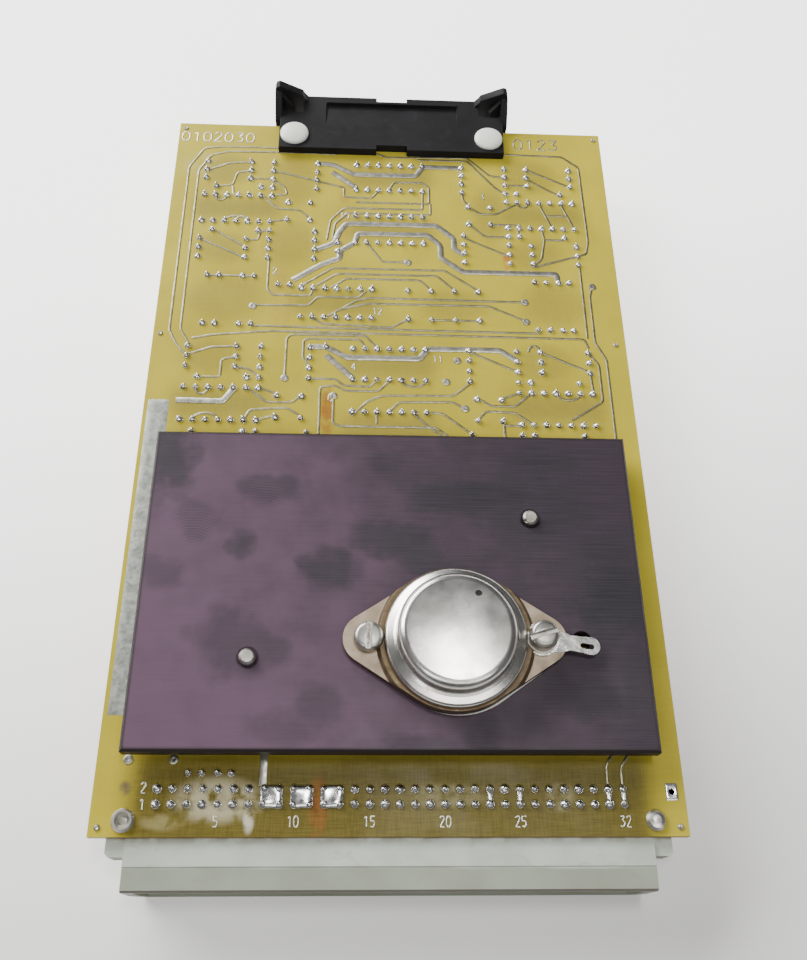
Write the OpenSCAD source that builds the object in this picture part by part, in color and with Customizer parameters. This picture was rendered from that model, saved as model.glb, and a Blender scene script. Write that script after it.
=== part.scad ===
// Plug-in control card: a 3U circuit board with a two-row backplane plug at one end, a moulded
// handle at the other, and a regulator in a metal can on a raised heatsink plate.
// The card lies with its solder side up. X runs across the card, +Y from the plug to the handle.
// The origin is under the middle of the card, on the surface that it lies on.

/* [Circuit board] */
// Width of the board, between the rack's two guides
board_w = 100; // [98:0.5:102]
// Length of the board, from the plug's edge to the handle's edge
board_l = 160; // [160:10:220]
// Thickness of the laminate
board_t = 1.6; // [1.4:0.1:2]
// Spacing of the drilling grid
pitch = 2.54; // [2.5:0.01:2.54]
// Height of the solder side above the surface that the card lies on
under_h = 12; // [12:0.5:20]

/* [Backplane plug] */
// Number of contacts in each row
ways = 32; // [16:1:32]
// Length of the shroud that enters the socket
shroud_w = 88; // [86:0.5:89]
// Overall length across the two fixing ears
plug_w = 94.4; // [94:0.2:96]
// Distance between the two fixing rivets
rivet_spacing = 88.9; // [88:0.1:90]
// How far the shroud stands out past the board's edge
plug_out = 8.3; // [8:0.1:10]
// Side of the square contact wire
contact_t = 0.6; // [0.5:0.05:0.7]
// How far the contact tips stay behind the mouth
tip_recess = 4.4; // [4.2:0.1:5]

/* [Handle] */
// Width of the handle's foot on the board
handle_w = 52.8; // [50:0.2:60]
// Width across the two horns
grip_w = 55.2; // [54:0.2:62]
// How far the foot reaches over the board
foot_l = 8.6; // [8:0.1:12]
// Thickness of the foot
foot_t = 2; // [1.5:0.1:3]
// How far the handle stands out past the board's edge
grip_out = 8; // [6:0.1:12]
// Thickness of the grip plate
grip_t = 2; // [1.5:0.1:3]
// Height of the two horns over the solder side
horn_h = 6.4; // [5:0.1:8]

/* [Heatsink] */
// Width of the heatsink plate
plate_w = 90.5; // [84:0.5:94]
// Length of the heatsink plate
plate_l = 60.5; // [58:0.5:64]
// Thickness of the heatsink plate
plate_t = 3.2; // [2.5:0.1:5]
// Gap between the board and the plate, which is the height of the nuts between them
plate_gap = 2.4; // [2.4:0.1:4]
// Distance from the board's edge to the plate
plate_y = 12.7; // [12.5:0.1:14]

/* [Regulator] */
// Distance between the regulator's two fixing holes
lug_spacing = 30.15; // [30:0.05:30.3]
// Length of the regulator's flange
flange_l = 39.2; // [38.6:0.1:40]
// Width of the regulator's flange
flange_w = 25.6; // [25.2:0.1:26.6]
// Thickness of the regulator's flange
flange_t = 1.6; // [1.4:0.1:2]
// Height of the can over the flange
can_h = 6.1; // [4.5:0.1:8]

/* [Hidden] */
$fn = 48;
eps = 0.01;
loose = 0.05;

// The card's middle along Y, and its board's place
card_mid_y = (board_l + grip_out - plug_out) / 2;
solder_z = under_h;
part_z = -board_t;

// Screws and nuts of 3 mm size
screw_r = 1.45;
tapped_r = 1.5;
clear_r = 1.6;
nut_af = 5.5;
nut_h = 2.4;
lock_r = 2.8;
lock_h = 0.7;

// Plug
shroud_top = -1;
ear_h = 4.8;
ear_front = -2.9;
ear_back = 5.6;
plug_back = 3.2;
cavity_back = 1.5;
plug_mid_z = (shroud_top - under_h) / 2;
cavity_h = 8.2;
cavity_w = (ways - 1) * pitch + 5.6;
row_y = [5.15, 7.65];
row_z = [plug_mid_z + pitch / 2, plug_mid_z - pitch / 2];
rivet_y = 2.6;
rivet_shank_r = 1.35;
rivet_bore_r = 0.8;
rivet_foot_r = 1.9;
rivet_head_r = 1.75;
eyelet_head_r = 1.95;
ear_slot_r = 0.9;
// Solder joints: foot radius and height
plug_joint = [0.95, 1];
part_joint = [0.85, 0.9];

// Handle
handle_rivet_x = 22.86;
handle_rivet_y = board_l - 4.4;
handle_rivet_r = 3.3;
handle_rivet_rim = 0.3;
handle_rivet_dome = 0.95;
handle_shank_r = 1.7;
notch_w = 7.2;
notch_depth = 1.3;
horn_w = 6.4;
horn_wall = 1.5;
pocket_l = 3.2;
label_l = 31.2;
label_w = 7;
label_slope = 5;

// Heatsink and regulator
plate_top = plate_gap + plate_t;
plate_screw_at = [[-25.2, 28.6], [25.6, 55.5]];
spare_hole_at = [33.3, 32];
spare_hole_r = 1.8;
reg_at = [10.75, 31.65];
insulator_t = 0.15;
insulator_shift = 0.35;
flange_z = plate_top + insulator_t;
can_z = flange_z + flange_t;
step_r = 13.9;
step_h = 0.9;
can_r = 12.4;
crown_r = 10.35;
crown_edge = 1.6;
can_wall = 0.6;
die_w = 2.6;
die_t = 0.5;
die_x = -3;
flange_hole_r = 2;
pin_clear_r = 2;
pin_dx = 1.81;
pin_dy = 5.46;
pin_r = 0.5;
seal_r = 1.6;
bush_r = 2.45;
bush_flange_r = 3.6;
bush_flange_t = 0.7;
lug_t = 0.5;
lug_ring_r = 3;
lug_reach = 10.3;
lug_eye_r = 1.6;
lug_angle = -7;
lug_tilt = 4;
// Head radius, head height, slot depth and turn of the regulator's two screws
left_head = [2.6, 2.2, 0.3, 88];
right_head = [2.5, 2.8, 1, 16];

// Bodies of the lying parts: length, radius, and height of the axis over the board
res_l = 6.4;
res_r = 1.2;
res_z = 1.55;
diode_l = 5.2;
diode_r = 1.15;
diode_z = 1.6;
// Radii of the wires of the resistors, the diodes and the capacitors
res_wire_r = 0.3;
diode_wire_r = 0.35;
disc_wire_r = 0.28;
film_wire_r = 0.3;
bead_wire_r = 0.25;
// Standing parts: disc radius and half thickness, height of each body's lower edge
disc_r = 2.9;
disc_half_t = 1.15;
disc_z = 1.2;
film_box = [4.2, 10.2, 7.2];
film_z = 0.4;
bead_r = 2;
bead_z = 1.4;
// 14-pin IC body: length, width, and heights of its two faces over the board
ic_l = 19.3;
ic_w = 6.3;
ic_z0 = 0.6;
ic_z1 = 4.1;
ic_draft = 0.25;
ic_notch_r = 1.3;
// IC pins: thickness, and widths of the leg and of the shoulder
ic_pin_t = 0.26;
ic_leg_w = 0.5;
ic_shoulder_w = 1.4;

// Places on the drilling grid, in grid steps from the board's middle and its plug edge.
// Four like channels, a left and a mirrored right one in each of two rows.
channel_dy = 20.25;
left_x = -16.75;
right_x = 10.4;
upper_y = 51.35;
channels = [
  [left_x, upper_y, 0], [right_x, upper_y, 1],
  [left_x, upper_y - channel_dy, 0], [right_x, upper_y - channel_dy, 1]
];
centre_ics = [[-3.2, 55.35], [-3.2, 49.3], [-7.7, 41.2], [-3.2, 35.1], [-3.2, 29.05]];
ic_gaps = 6;
ic_rows = 3;
res_span = 4;
diode_span = 5;
disc_span = 2;
film_span = 3;
bead_span = 0.9;
// First lead of each resistor, from its channel's first IC pin
channel_res = concat(
  [for (y = [7, 6, 5, -2, -3, -4]) [0, y]],
  [for (y = [7, 6, 5, 4, -1, -2, -3, -4]) [6, y]],
  [[1, 4], [1, -1]]
);
left_diode_x = [1, 2, 4, 5];
right_diode_x = [2, 3, 4.1, 5];
diode_y = -11;
disc_xs = 7.5;
disc_ys = [2.3, 0.3];
film_xs = [1.4, 3.4, 5.4, 7.45];
film_y = 41.15;
bead_at = [[-13.58, 4.02], [-11.6, 4.02]];
test_joints = [[-4.7, 49.2], [-4.7, 48.3], [-5.4, 38.2], [-9.7, 44.5], [-8.7, 44.5]];

// A mirrored channel turns its places round its own IC
function flip_x(c, x, span) = c[2] == 0 ? c[0] + x : c[0] + ic_gaps - x - span;

res_at = [for (c = channels) for (p = channel_res) [flip_x(c, p[0], res_span), c[1] + p[1]]];
diode_at = [
  for (c = channels) for (x = c[2] == 0 ? left_diode_x : right_diode_x) [c[0] + x, c[1] + diode_y]
];
disc_at = [for (c = channels) for (y = disc_ys) [flip_x(c, disc_xs, disc_span), c[1] + y]];
film_at = [for (x = film_xs) [x, film_y]];
channel_ic_at = [for (c = channels) [c[0], c[1]]];

// Both ends of parts that lie across or along the card, and all pins of the ICs
function across(at, span) = [for (p = at) for (k = [0, 1]) [p[0] + k * span, p[1]]];
function along(at, span) = [for (p = at) for (k = [0, 1]) [p[0], p[1] + k * span]];
function ic_pins(at) = [
  for (p = at) for (k = [0:ic_gaps]) for (row = [0, ic_rows]) [p[0] + k, p[1] + row]
];
lead_points = concat(
  ic_pins(channel_ic_at), ic_pins(centre_ics), across(res_at, res_span),
  along(diode_at, diode_span), across(disc_at, disc_span), along(film_at, film_span),
  across(bead_at, bead_span), test_joints
);

// Points along an arc
function arc(x, y, r, a0, a1, steps) = [
  for (i = [0:steps]) let (a = a0 + (a1 - a0) * i / steps) [x + r * cos(a), y + r * sin(a)]
];

// Outline of a two-hole flange: a middle circle and two end circles joined by straight sides
function flange_outline(half, r_mid, r_end) =
  let (t = acos((r_mid - r_end) / half))
  concat(
    arc(half, 0, r_end, -t, t, 16), arc(0, 0, r_mid, t, 180 - t, 16),
    arc(-half, 0, r_end, 180 - t, 180 + t, 16), arc(0, 0, r_mid, 180 + t, 360 - t, 16)
  );

// Outline of a slot with round ends
function slot_outline(l, w) = concat(
  arc((l - w) / 2, 0, w / 2, -90, 90, 10), arc(-(l - w) / 2, 0, w / 2, 90, 270, 10)
);

// Everything is drawn from the solder side's plug edge, then moved to the card's own origin
module in_card() {
  translate([0, -card_mid_y, solder_z]) children();
}

// Turns a part so that its +Z points down from the component side
module under_board() {
  in_card() translate([0, 0, part_z]) mirror([0, 0, 1]) children();
}

module at_grid(p) {
  translate([p[0] * pitch, p[1] * pitch, 0]) children();
}

module ring(r, bore, h) {
  difference() {
    cylinder(h = h, r = r);
    translate([0, 0, -1]) cylinder(h = h + 2, r = bore);
  }
}

// A block with its long edges broken, from its lower middle point
module chamfered_block(w, l, h, c) {
  intersection() {
    rotate([90, 0, 0]) translate([0, 0, -l / 2]) linear_extrude(l) polygon([
      [-w / 2, c], [-w / 2 + c, 0], [w / 2 - c, 0], [w / 2, c],
      [w / 2, h - c], [w / 2 - c, h], [-w / 2 + c, h], [-w / 2, h - c]
    ]);
    rotate([90, 0, 90]) translate([0, 0, -w / 2]) linear_extrude(w) polygon([
      [-l / 2, c], [-l / 2 + c, 0], [l / 2 - c, 0], [l / 2, c],
      [l / 2, h - c], [l / 2 - c, h], [-l / 2 + c, h], [-l / 2, h - c]
    ]);
  }
}

module hex_nut() {
  difference() {
    cylinder(h = nut_h, r = nut_af / 2 / cos(30), $fn = 6);
    translate([0, 0, -1]) cylinder(h = nut_h + 2, r = tapped_r);
  }
}

module split_washer() {
  difference() {
    ring(lock_r, tapped_r, lock_h);
    rotate([0, 20, 0]) translate([0, -0.4, -1]) cube([5, 0.8, 4]);
  }
}

// A screw with a round-edged slotted head, its head's underside at z = 0
module slotted_screw(head_r, head_h, slot_d, l) {
  difference() {
    rotate_extrude() polygon(concat(
      [[0, -l], [screw_r - 0.4, -l], [screw_r, -l + 0.4], [screw_r, 0], [head_r, 0]],
      arc(head_r - 0.9, head_h - 0.9, 0.9, 0, 90, 6), [[0, head_h + 0.15]]
    ));
    translate([-head_r - 1, -0.45, head_h - slot_d]) cube([2 * head_r + 2, 0.9, 3]);
  }
}

// A solder joint, from its foot radius and height
module solder_cone(joint) {
  cylinder(h = joint[1], r1 = joint[0], r2 = 0.38, $fn = 20);
}

/* ---- Board and plug ---- */

module circuit_board() {
  color([0.72, 0.66, 0.36]) in_card() difference() {
    translate([-board_w / 2, 0, part_z]) cube([board_w, board_l, board_t]);
    for (s = [-1, 1]) {
      translate([s * rivet_spacing / 2, rivet_y, -5]) cylinder(h = 10, r = rivet_shank_r + loose);
      translate([s * handle_rivet_x, handle_rivet_y, -5])
        cylinder(h = 10, r = handle_shank_r + loose);
      translate([reg_at[0] + s * lug_spacing / 2, reg_at[1], -5]) cylinder(h = 10, r = clear_r);
      translate([reg_at[0] + pin_dx, reg_at[1] + s * pin_dy, -5])
        cylinder(h = 10, r = pin_r + loose);
    }
    for (p = plate_screw_at) translate([p[0], p[1], -5]) cylinder(h = 10, r = clear_r);
  }
}

// Side view of the shroud, extruded along the plug
module shroud_side(w) {
  rotate([90, 0, 90]) translate([0, 0, -w / 2]) linear_extrude(w) polygon([
    [-plug_out, shroud_top - 0.7], [-plug_out + 0.35, shroud_top - 0.3],
    [-4.6, shroud_top - 0.12], [-4.4, shroud_top], [-eps, shroud_top], [-eps, part_z],
    [plug_back, part_z], [plug_back, -under_h + 1.2], [plug_back - 1.2, -under_h],
    [-plug_out + 0.35, -under_h], [-plug_out, -under_h + 0.35]
  ]);
}

// End view of the shroud: the two corners away from the board are cut off
module shroud_end(w, top, bottom, cut) {
  rotate([90, 0, 0]) translate([0, 0, -20]) linear_extrude(40) polygon([
    [-w / 2, top], [-w / 2, bottom + cut], [-w / 2 + 0.6 * cut, bottom],
    [w / 2 - 0.6 * cut, bottom], [w / 2, bottom + cut], [w / 2, top]
  ]);
}

module plug_ear(s) {
  x0 = shroud_w / 2 - 2.5;
  x1 = plug_w / 2;
  translate([0, 0, part_z - ear_h]) linear_extrude(ear_h) polygon([
    [s * x0, ear_front], [s * (x1 - 0.6), ear_front], [s * x1, ear_front + 0.6],
    [s * x1, ear_back - 1], [s * (x1 - 1), ear_back], [s * x0, ear_back]
  ]);
}

module plug_housing() {
  color([0.78, 0.8, 0.77]) in_card() difference() {
    union() {
      intersection() {
        shroud_side(shroud_w);
        shroud_end(shroud_w, 0, -under_h, 3);
      }
      for (s = [-1, 1]) plug_ear(s);
    }
    intersection() {
      translate([-cavity_w / 2, -plug_out - 1, plug_mid_z - cavity_h / 2])
        cube([cavity_w, plug_out + 1 + cavity_back, cavity_h]);
      shroud_end(cavity_w, plug_mid_z + cavity_h / 2, plug_mid_z - cavity_h / 2, 2);
    }
    for (s = [-1, 1]) {
      translate([s * rivet_spacing / 2, rivet_y, part_z - ear_h - 1])
        cylinder(h = ear_h + 2, r = rivet_shank_r + loose);
      translate([s * (shroud_w / 2 + 1.6), ear_front - 1, part_z - ear_h / 2 - 0.9])
        rotate([-90, 0, 0]) cylinder(h = 2.2, r = ear_slot_r);
    }
    for (i = [0:ways - 1]) for (z = row_z) {
      translate([contact_x(i) - contact_t / 2 - eps, 0, z - contact_t / 2 - eps])
        cube([contact_t + 2 * eps, plug_back + 1, contact_t + 2 * eps]);
    }
  }
}

function contact_x(i) = (i - (ways - 1) / 2) * pitch;

// A bent contact: a blade in the shroud and a tail that turns up to the board
module contact(y, z) {
  h = contact_t / 2;
  tip = -plug_out + tip_recess;
  rotate([90, 0, 90]) translate([0, 0, -h]) linear_extrude(contact_t) polygon([
    [tip, z - 0.1], [tip + 0.7, z - h], [y - 0.3, z - h], [y + h, z + 0.3],
    [y + h, part_z], [y - h, part_z], [y - h, z + h], [tip + 0.7, z + h], [tip, z + 0.1]
  ]);
}

module contact_row(k) {
  color([0.85, 0.74, 0.4]) in_card()
    for (i = [0:ways - 1]) translate([contact_x(i), 0, 0]) contact(row_y[k], row_z[k]);
}

module plug_rivet(s, filled) {
  bottom = part_z - ear_h;
  color([0.75, 0.74, 0.7]) in_card() translate([s * rivet_spacing / 2, rivet_y, 0])
    rotate_extrude() polygon(filled
      ? [[0, bottom - 0.5], [1.2, bottom - 0.5], [rivet_foot_r, bottom - 0.2], [rivet_foot_r, bottom],
         [rivet_shank_r, bottom], [rivet_shank_r, 0], [rivet_head_r, 0],
         [rivet_head_r, 0.35], [1.3, 0.85], [0.7, 1.05], [0, 1.1]]
      : [[rivet_bore_r, bottom - 0.5], [1.2, bottom - 0.5], [rivet_foot_r, bottom - 0.2],
         [rivet_foot_r, bottom], [rivet_shank_r, bottom], [rivet_shank_r, 0], [eyelet_head_r, 0],
         [eyelet_head_r, 0.35], [1.6, 0.75], [1.25, 0.75], [rivet_bore_r, 0.3]]);
}

module plug_solder_joints() {
  color([0.8, 0.8, 0.8]) in_card()
    for (i = [0:ways - 1]) for (y = row_y) translate([contact_x(i), y, 0]) solder_cone(plug_joint);
}

/* ---- Handle ---- */

// Grip plate seen along the card: level with the foot, with a horn at each end
module grip_outline() {
  w = grip_w / 2;
  side = [
    [w - 1.5, -under_h], [w, -under_h + 1.5], [w, horn_h - 1.2], [w - 0.35, horn_h - 0.3],
    [w - 1.1, horn_h], [w - horn_w, horn_h - 2.5], [w - horn_w - 0.4, horn_h - 3.3],
    [w - horn_w - 1.3, foot_t]
  ];
  polygon(concat(side, [for (i = [len(side) - 1:-1:0]) [-side[i][0], side[i][1]]]));
}

// Side wall of a horn: it falls from the horn's tip to the foot
module horn_side(y0, y1) {
  linear_extrude(horn_wall) polygon([
    [y0, -3], [y0, foot_t - 0.5], [y0 + 0.5, foot_t], [y1 - grip_t - 0.6, horn_h - 1.2],
    [y1 - eps, horn_h - 1.2], [y1 - eps, -3]
  ]);
}

// Right half of what stands on the foot's far corners
module horn_parts(y1) {
  translate([grip_w / 2 - horn_wall, 0, 0]) rotate([90, 0, 90]) horn_side(board_l + 0.4, y1);
  // Rib behind the grip plate, under the board
  translate([grip_w / 2 - 10.75, board_l + eps, -8]) cube([1.5, grip_out - grip_t, 8 + eps]);
}

// Hole through the foot inside a horn, from the middle of its near edge
module horn_pocket() {
  linear_extrude(foot_t + 2) polygon([
    [-2.4, 0], [1.9, 0], [2.6, 0.7], [2.6, pocket_l], [-2.6, pocket_l], [-2.6, 0.8]
  ]);
}

module card_handle() {
  y1 = board_l + grip_out;
  y0 = board_l - foot_l;
  color([0.15, 0.15, 0.16]) in_card() difference() {
    union() {
      difference() {
        union() {
          translate([-handle_w / 2, y0, 0]) cube([handle_w, y1 - y0 - eps, foot_t]);
          translate([0, y1, 0]) rotate([90, 0, 0]) linear_extrude(grip_t) grip_outline();
          // Bead along the label recess
          translate([-label_l / 2, y1 - grip_t - 0.3, foot_t - eps]) cube([label_l, 0.8, 0.35]);
          for (k = [0, 1]) mirror([k, 0, 0]) horn_parts(y1);
        }
        for (k = [0, 1]) mirror([k, 0, 0])
          translate([grip_w / 2 - horn_wall - 2.6, y1 - grip_t - pocket_l, -1]) horn_pocket();
      }
      // Small web across each horn's pocket
      for (k = [0, 1]) mirror([k, 0, 0])
        translate([grip_w / 2 - horn_wall + 0.3, y1 - grip_t - 0.6, 0]) rotate([0, 0, 212])
          rotate([90, 0, 0]) linear_extrude(0.9) polygon([[0, -2], [0, 4.6], [3.3, 2.4], [3.3, -2]]);
    }
    for (k = [0, 1]) mirror([k, 0, 0]) translate([handle_rivet_x, handle_rivet_y, -1])
      cylinder(h = foot_t + 2, r = handle_shank_r + loose);
    // Notches in the near and the far edge
    translate([-notch_w / 2, y0 - 1, -1]) cube([notch_w, 1 + notch_depth, foot_t + 2]);
    translate([-notch_w / 2, y1 - notch_depth, foot_t - 3]) cube([notch_w, 2, 4]);
    // Shallow label recess, deepest against the bead
    translate([-label_l / 2, y1 - grip_t - 0.3 - label_w, foot_t]) rotate([-label_slope, 0, 0])
      cube([label_l, label_w, 1]);
  }
}

// A domed push rivet with a slit foot under the board
module handle_rivet(s) {
  bottom = part_z - 2.6;
  color([0.9, 0.91, 0.86]) in_card() translate([s * handle_rivet_x, handle_rivet_y, 0])
    difference() {
      rotate_extrude() polygon(concat(
        [[0, bottom], [1.1, bottom], [2.15, part_z - 0.9], [2.15, part_z - 0.5],
         [handle_shank_r, part_z], [handle_shank_r, foot_t], [handle_rivet_r, foot_t],
         [handle_rivet_r, foot_t + handle_rivet_rim]],
        [for (a = [15:15:75])
          [handle_rivet_r * cos(a), foot_t + handle_rivet_rim + handle_rivet_dome * sin(a)]],
        [[0, foot_t + handle_rivet_rim + handle_rivet_dome]]
      ));
      translate([-3, -0.3, bottom - 1]) cube([6, 0.6, 3.4]);
    }
}

/* ---- Heatsink and regulator ---- */

module heatsink_plate() {
  color([0.27, 0.23, 0.28]) in_card() difference() {
    translate([0, plate_y + plate_l / 2, plate_gap]) chamfered_block(plate_w, plate_l, plate_t, 0.4);
    for (p = plate_screw_at) translate([p[0], p[1], 0]) {
      cylinder(h = 20, r = tapped_r);
      translate([0, 0, plate_top - 0.5]) cylinder(h = 1, r1 = tapped_r, r2 = tapped_r + 1);
    }
    for (s = [-1, 1]) {
      translate([reg_at[0] + s * lug_spacing / 2, reg_at[1], 0])
        cylinder(h = 20, r = bush_r + loose);
      translate([reg_at[0] + pin_dx, reg_at[1] + s * pin_dy, 0])
        cylinder(h = 20, r = pin_clear_r);
    }
    translate([spare_hole_at[0], spare_hole_at[1], 0]) cylinder(h = 20, r = spare_hole_r);
  }
}

// Screws come up through the board and the spacer nuts, and their ends show over the plate
module plate_screws() {
  end_z = plate_top + 1.1;
  color([0.75, 0.75, 0.72]) in_card() for (p = plate_screw_at)
    translate([p[0], p[1], part_z - lock_h]) mirror([0, 0, 1])
      slotted_screw(2.75, 1.9, 0.9, end_z - part_z + lock_h);
}

module plate_lock_washers() {
  color([0.7, 0.7, 0.7]) in_card()
    for (p = plate_screw_at) translate([p[0], p[1], part_z - lock_h]) split_washer();
}

module plate_spacer_nuts() {
  color([0.72, 0.72, 0.7]) in_card() for (p = plate_screw_at) translate([p[0], p[1], 0]) hex_nut();
}

module at_regulator() {
  in_card() translate([reg_at[0], reg_at[1], 0]) children();
}

// The regulator's two-hole outline, wider by grow and with its ends drawn in by short
module flange_shape(grow, short) {
  polygon(flange_outline(
    lug_spacing / 2, flange_w / 2 + grow, (flange_l - lug_spacing) / 2 - short
  ));
}

module insulating_washer() {
  color([0.93, 0.93, 0.9]) at_regulator() translate([0, 0, plate_top]) difference() {
    translate([insulator_shift, 0, 0]) linear_extrude(insulator_t) flange_shape(0.08, 0.3);
    for (s = [-1, 1]) {
      translate([s * lug_spacing / 2, 0, -1]) cylinder(h = 3, r = flange_hole_r);
      translate([pin_dx, s * pin_dy, -1]) cylinder(h = 3, r = 1.2);
    }
  }
}

module regulator_base() {
  color([0.78, 0.72, 0.62]) at_regulator() translate([0, 0, flange_z]) difference() {
    union() {
      linear_extrude(flange_t) flange_shape(0, 0);
      // Round step that carries the can, cut off at the flange's sides
      intersection() {
        translate([0, 0, flange_t - eps])
          cylinder(h = step_h + eps, r1 = step_r, r2 = step_r - 0.6, $fn = 96);
        linear_extrude(flange_t + 2) flange_shape(0, 0);
      }
    }
    for (s = [-1, 1]) {
      translate([s * lug_spacing / 2, 0, -1]) cylinder(h = 5, r = flange_hole_r);
      translate([pin_dx, s * pin_dy, -1]) cylinder(h = 5, r = seal_r);
    }
  }
}

// Drawn shell: a wide shoulder, then a round-edged crown
module regulator_can() {
  w = can_wall;
  top = can_h - step_h;
  outside = concat(
    [[can_r, 0], [can_r, 0.7]], arc(can_r - 0.8, 0.7, 0.8, 0, 80, 6),
    [[crown_r + 0.55, 1.75], [crown_r + 0.1, 1.95], [crown_r, 2.4]],
    arc(crown_r - crown_edge, top - crown_edge, crown_edge, 0, 90, 10), [[0, top + 0.05]]
  );
  inside = [
    [0, top - w], [crown_r - crown_edge - w / 2, top - w], [crown_r - w, top - crown_edge - w / 2],
    [crown_r - w, 1.5], [can_r - 1.6, 0.9], [can_r - 1.6, 0]
  ];
  color([0.75, 0.74, 0.71]) at_regulator() translate([0, 0, can_z + step_h])
    rotate_extrude($fn = 96) polygon(concat(outside, inside));
}

module regulator_die() {
  color([0.35, 0.36, 0.4]) at_regulator() translate([die_x, 0, can_z + step_h])
    chamfered_block(die_w, die_w, die_t, 0.05);
}

module regulator_pins() {
  top = can_z + step_h + 0.8;
  bottom = part_z - 1.6;
  color([0.8, 0.78, 0.7]) at_regulator() for (s = [-1, 1])
    translate([pin_dx, s * pin_dy, bottom]) cylinder(h = top - bottom, r = pin_r);
}

module regulator_pin_seals() {
  color([0.3, 0.4, 0.36]) at_regulator() for (s = [-1, 1])
    translate([pin_dx, s * pin_dy, flange_z]) ring(seal_r, pin_r, flange_t + step_h);
}

module regulator_screw(s, under_head, head) {
  l = under_head - part_z + lock_h + nut_h + 0.8;
  color([0.72, 0.7, 0.66]) at_regulator() translate([s * lug_spacing / 2, 0, under_head])
    rotate([0, 0, head[3]]) slotted_screw(head[0], head[1], head[2], l);
}

// Lock washer between the right screw's head and the lug
module regulator_head_washer() {
  color([0.7, 0.7, 0.7]) at_regulator() translate([lug_spacing / 2, 0, can_z + lug_t])
    rotate([0, 0, 150]) split_washer();
}

// Ring tag under the right screw, with a tongue that has an eye for a wire
module solder_lug() {
  color([0.8, 0.79, 0.75]) at_regulator() translate([lug_spacing / 2, 0, can_z])
    rotate([0, 0, lug_angle]) {
      ring(lug_ring_r, clear_r, lug_t);
      rotate([0, lug_tilt, 0]) linear_extrude(lug_t) difference() {
        polygon(concat(
          [[2.2, -2.05], [3.4, -1.95], [5, -1.35], [7.2, -1.45]],
          arc(lug_reach - lug_eye_r, 0, lug_eye_r, -90, 90, 14),
          [[7.2, 1.45], [5, 1.35], [3.4, 1.95], [2.2, 2.05]]
        ));
        translate([lug_reach - 2.3, -0.15]) polygon(slot_outline(2.5, 0.95));
      }
    }
}

module regulator_bushes() {
  color([0.88, 0.88, 0.82]) at_regulator() for (s = [-1, 1]) translate([s * lug_spacing / 2, 0, 0])
    difference() {
      union() {
        translate([0, 0, plate_gap - bush_flange_t]) cylinder(h = bush_flange_t, r = bush_flange_r);
        translate([0, 0, plate_gap - eps]) cylinder(h = plate_t + eps, r = bush_r);
      }
      cylinder(h = 20, r = clear_r);
    }
}

// Thin nuts under the bushes carry the plate on the board
module regulator_clamp_nuts() {
  h = plate_gap - bush_flange_t;
  color([0.72, 0.72, 0.7]) at_regulator() for (s = [-1, 1]) translate([s * lug_spacing / 2, 0, 0])
    difference() {
      cylinder(h = h, r = nut_af / 2 / cos(30), $fn = 6);
      translate([0, 0, -1]) cylinder(h = h + 2, r = tapped_r);
    }
}

module regulator_lock_washers() {
  color([0.7, 0.7, 0.7]) at_regulator() for (s = [-1, 1])
    translate([s * lug_spacing / 2, 0, part_z - lock_h]) split_washer();
}

module regulator_end_nuts() {
  color([0.72, 0.72, 0.7]) at_regulator() for (s = [-1, 1])
    translate([s * lug_spacing / 2, 0, part_z - lock_h - nut_h]) hex_nut();
}

/* ---- Parts on the component side, drawn with +Z away from the board ---- */

// Body of a 14-pin IC, from its first pin: two drafted halves and a half-round notch
module ic_body(p) {
  l = ic_l;
  w = ic_w;
  z0 = ic_z0;
  z1 = ic_z1;
  d = ic_draft;
  mid = (z0 + z1) / 2;
  color([0.12, 0.12, 0.13]) under_board() at_grid(p)
    translate([ic_gaps * pitch / 2, ic_rows * pitch / 2, 0]) difference() {
      intersection() {
        rotate([90, 0, 90]) translate([0, 0, -l / 2]) linear_extrude(l) polygon([
          [-w / 2 + d, z0], [w / 2 - d, z0], [w / 2, mid - 0.15], [w / 2, mid + 0.15],
          [w / 2 - d, z1], [-w / 2 + d, z1], [-w / 2, mid + 0.15], [-w / 2, mid - 0.15]
        ]);
        rotate([90, 0, 0]) translate([0, 0, -w / 2]) linear_extrude(w) polygon([
          [-l / 2 + d, z0], [l / 2 - d, z0], [l / 2, mid - 0.15], [l / 2, mid + 0.15],
          [l / 2 - d, z1], [-l / 2 + d, z1], [-l / 2, mid + 0.15], [-l / 2, mid - 0.15]
        ]);
      }
      translate([-l / 2, 0, z1 - 0.6]) cylinder(h = 2, r = ic_notch_r);
    }
}

// One IC pin: a wide shoulder beside the body and a narrow leg to the board
module ic_pin(turn) {
  t = ic_pin_t / 2;
  shoulder = (ic_rows * pitch - ic_w) / 2 + eps;
  top = (ic_z0 + ic_z1) / 2 + t;
  rotate([0, 0, turn]) {
    rotate([90, 0, 90]) translate([0, 0, -ic_leg_w / 2]) linear_extrude(ic_leg_w)
      polygon([[-t, 0], [t, 0], [t, 1.2], [-t, 1.2]]);
    rotate([90, 0, 90]) translate([0, 0, -ic_shoulder_w / 2]) linear_extrude(ic_shoulder_w)
      polygon([[-t, 1.2], [t, 1.2], [t, top - 2 * t], [shoulder, top - 2 * t], [shoulder, top],
               [0.05, top], [-t, top - 0.18]]);
  }
}

module ic_pin_set(at) {
  color([0.78, 0.78, 0.76]) under_board() for (p = at) for (k = [0:ic_gaps]) {
    at_grid([p[0] + k, p[1]]) ic_pin(0);
    at_grid([p[0] + k, p[1] + ic_rows]) ic_pin(180);
  }
}

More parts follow.
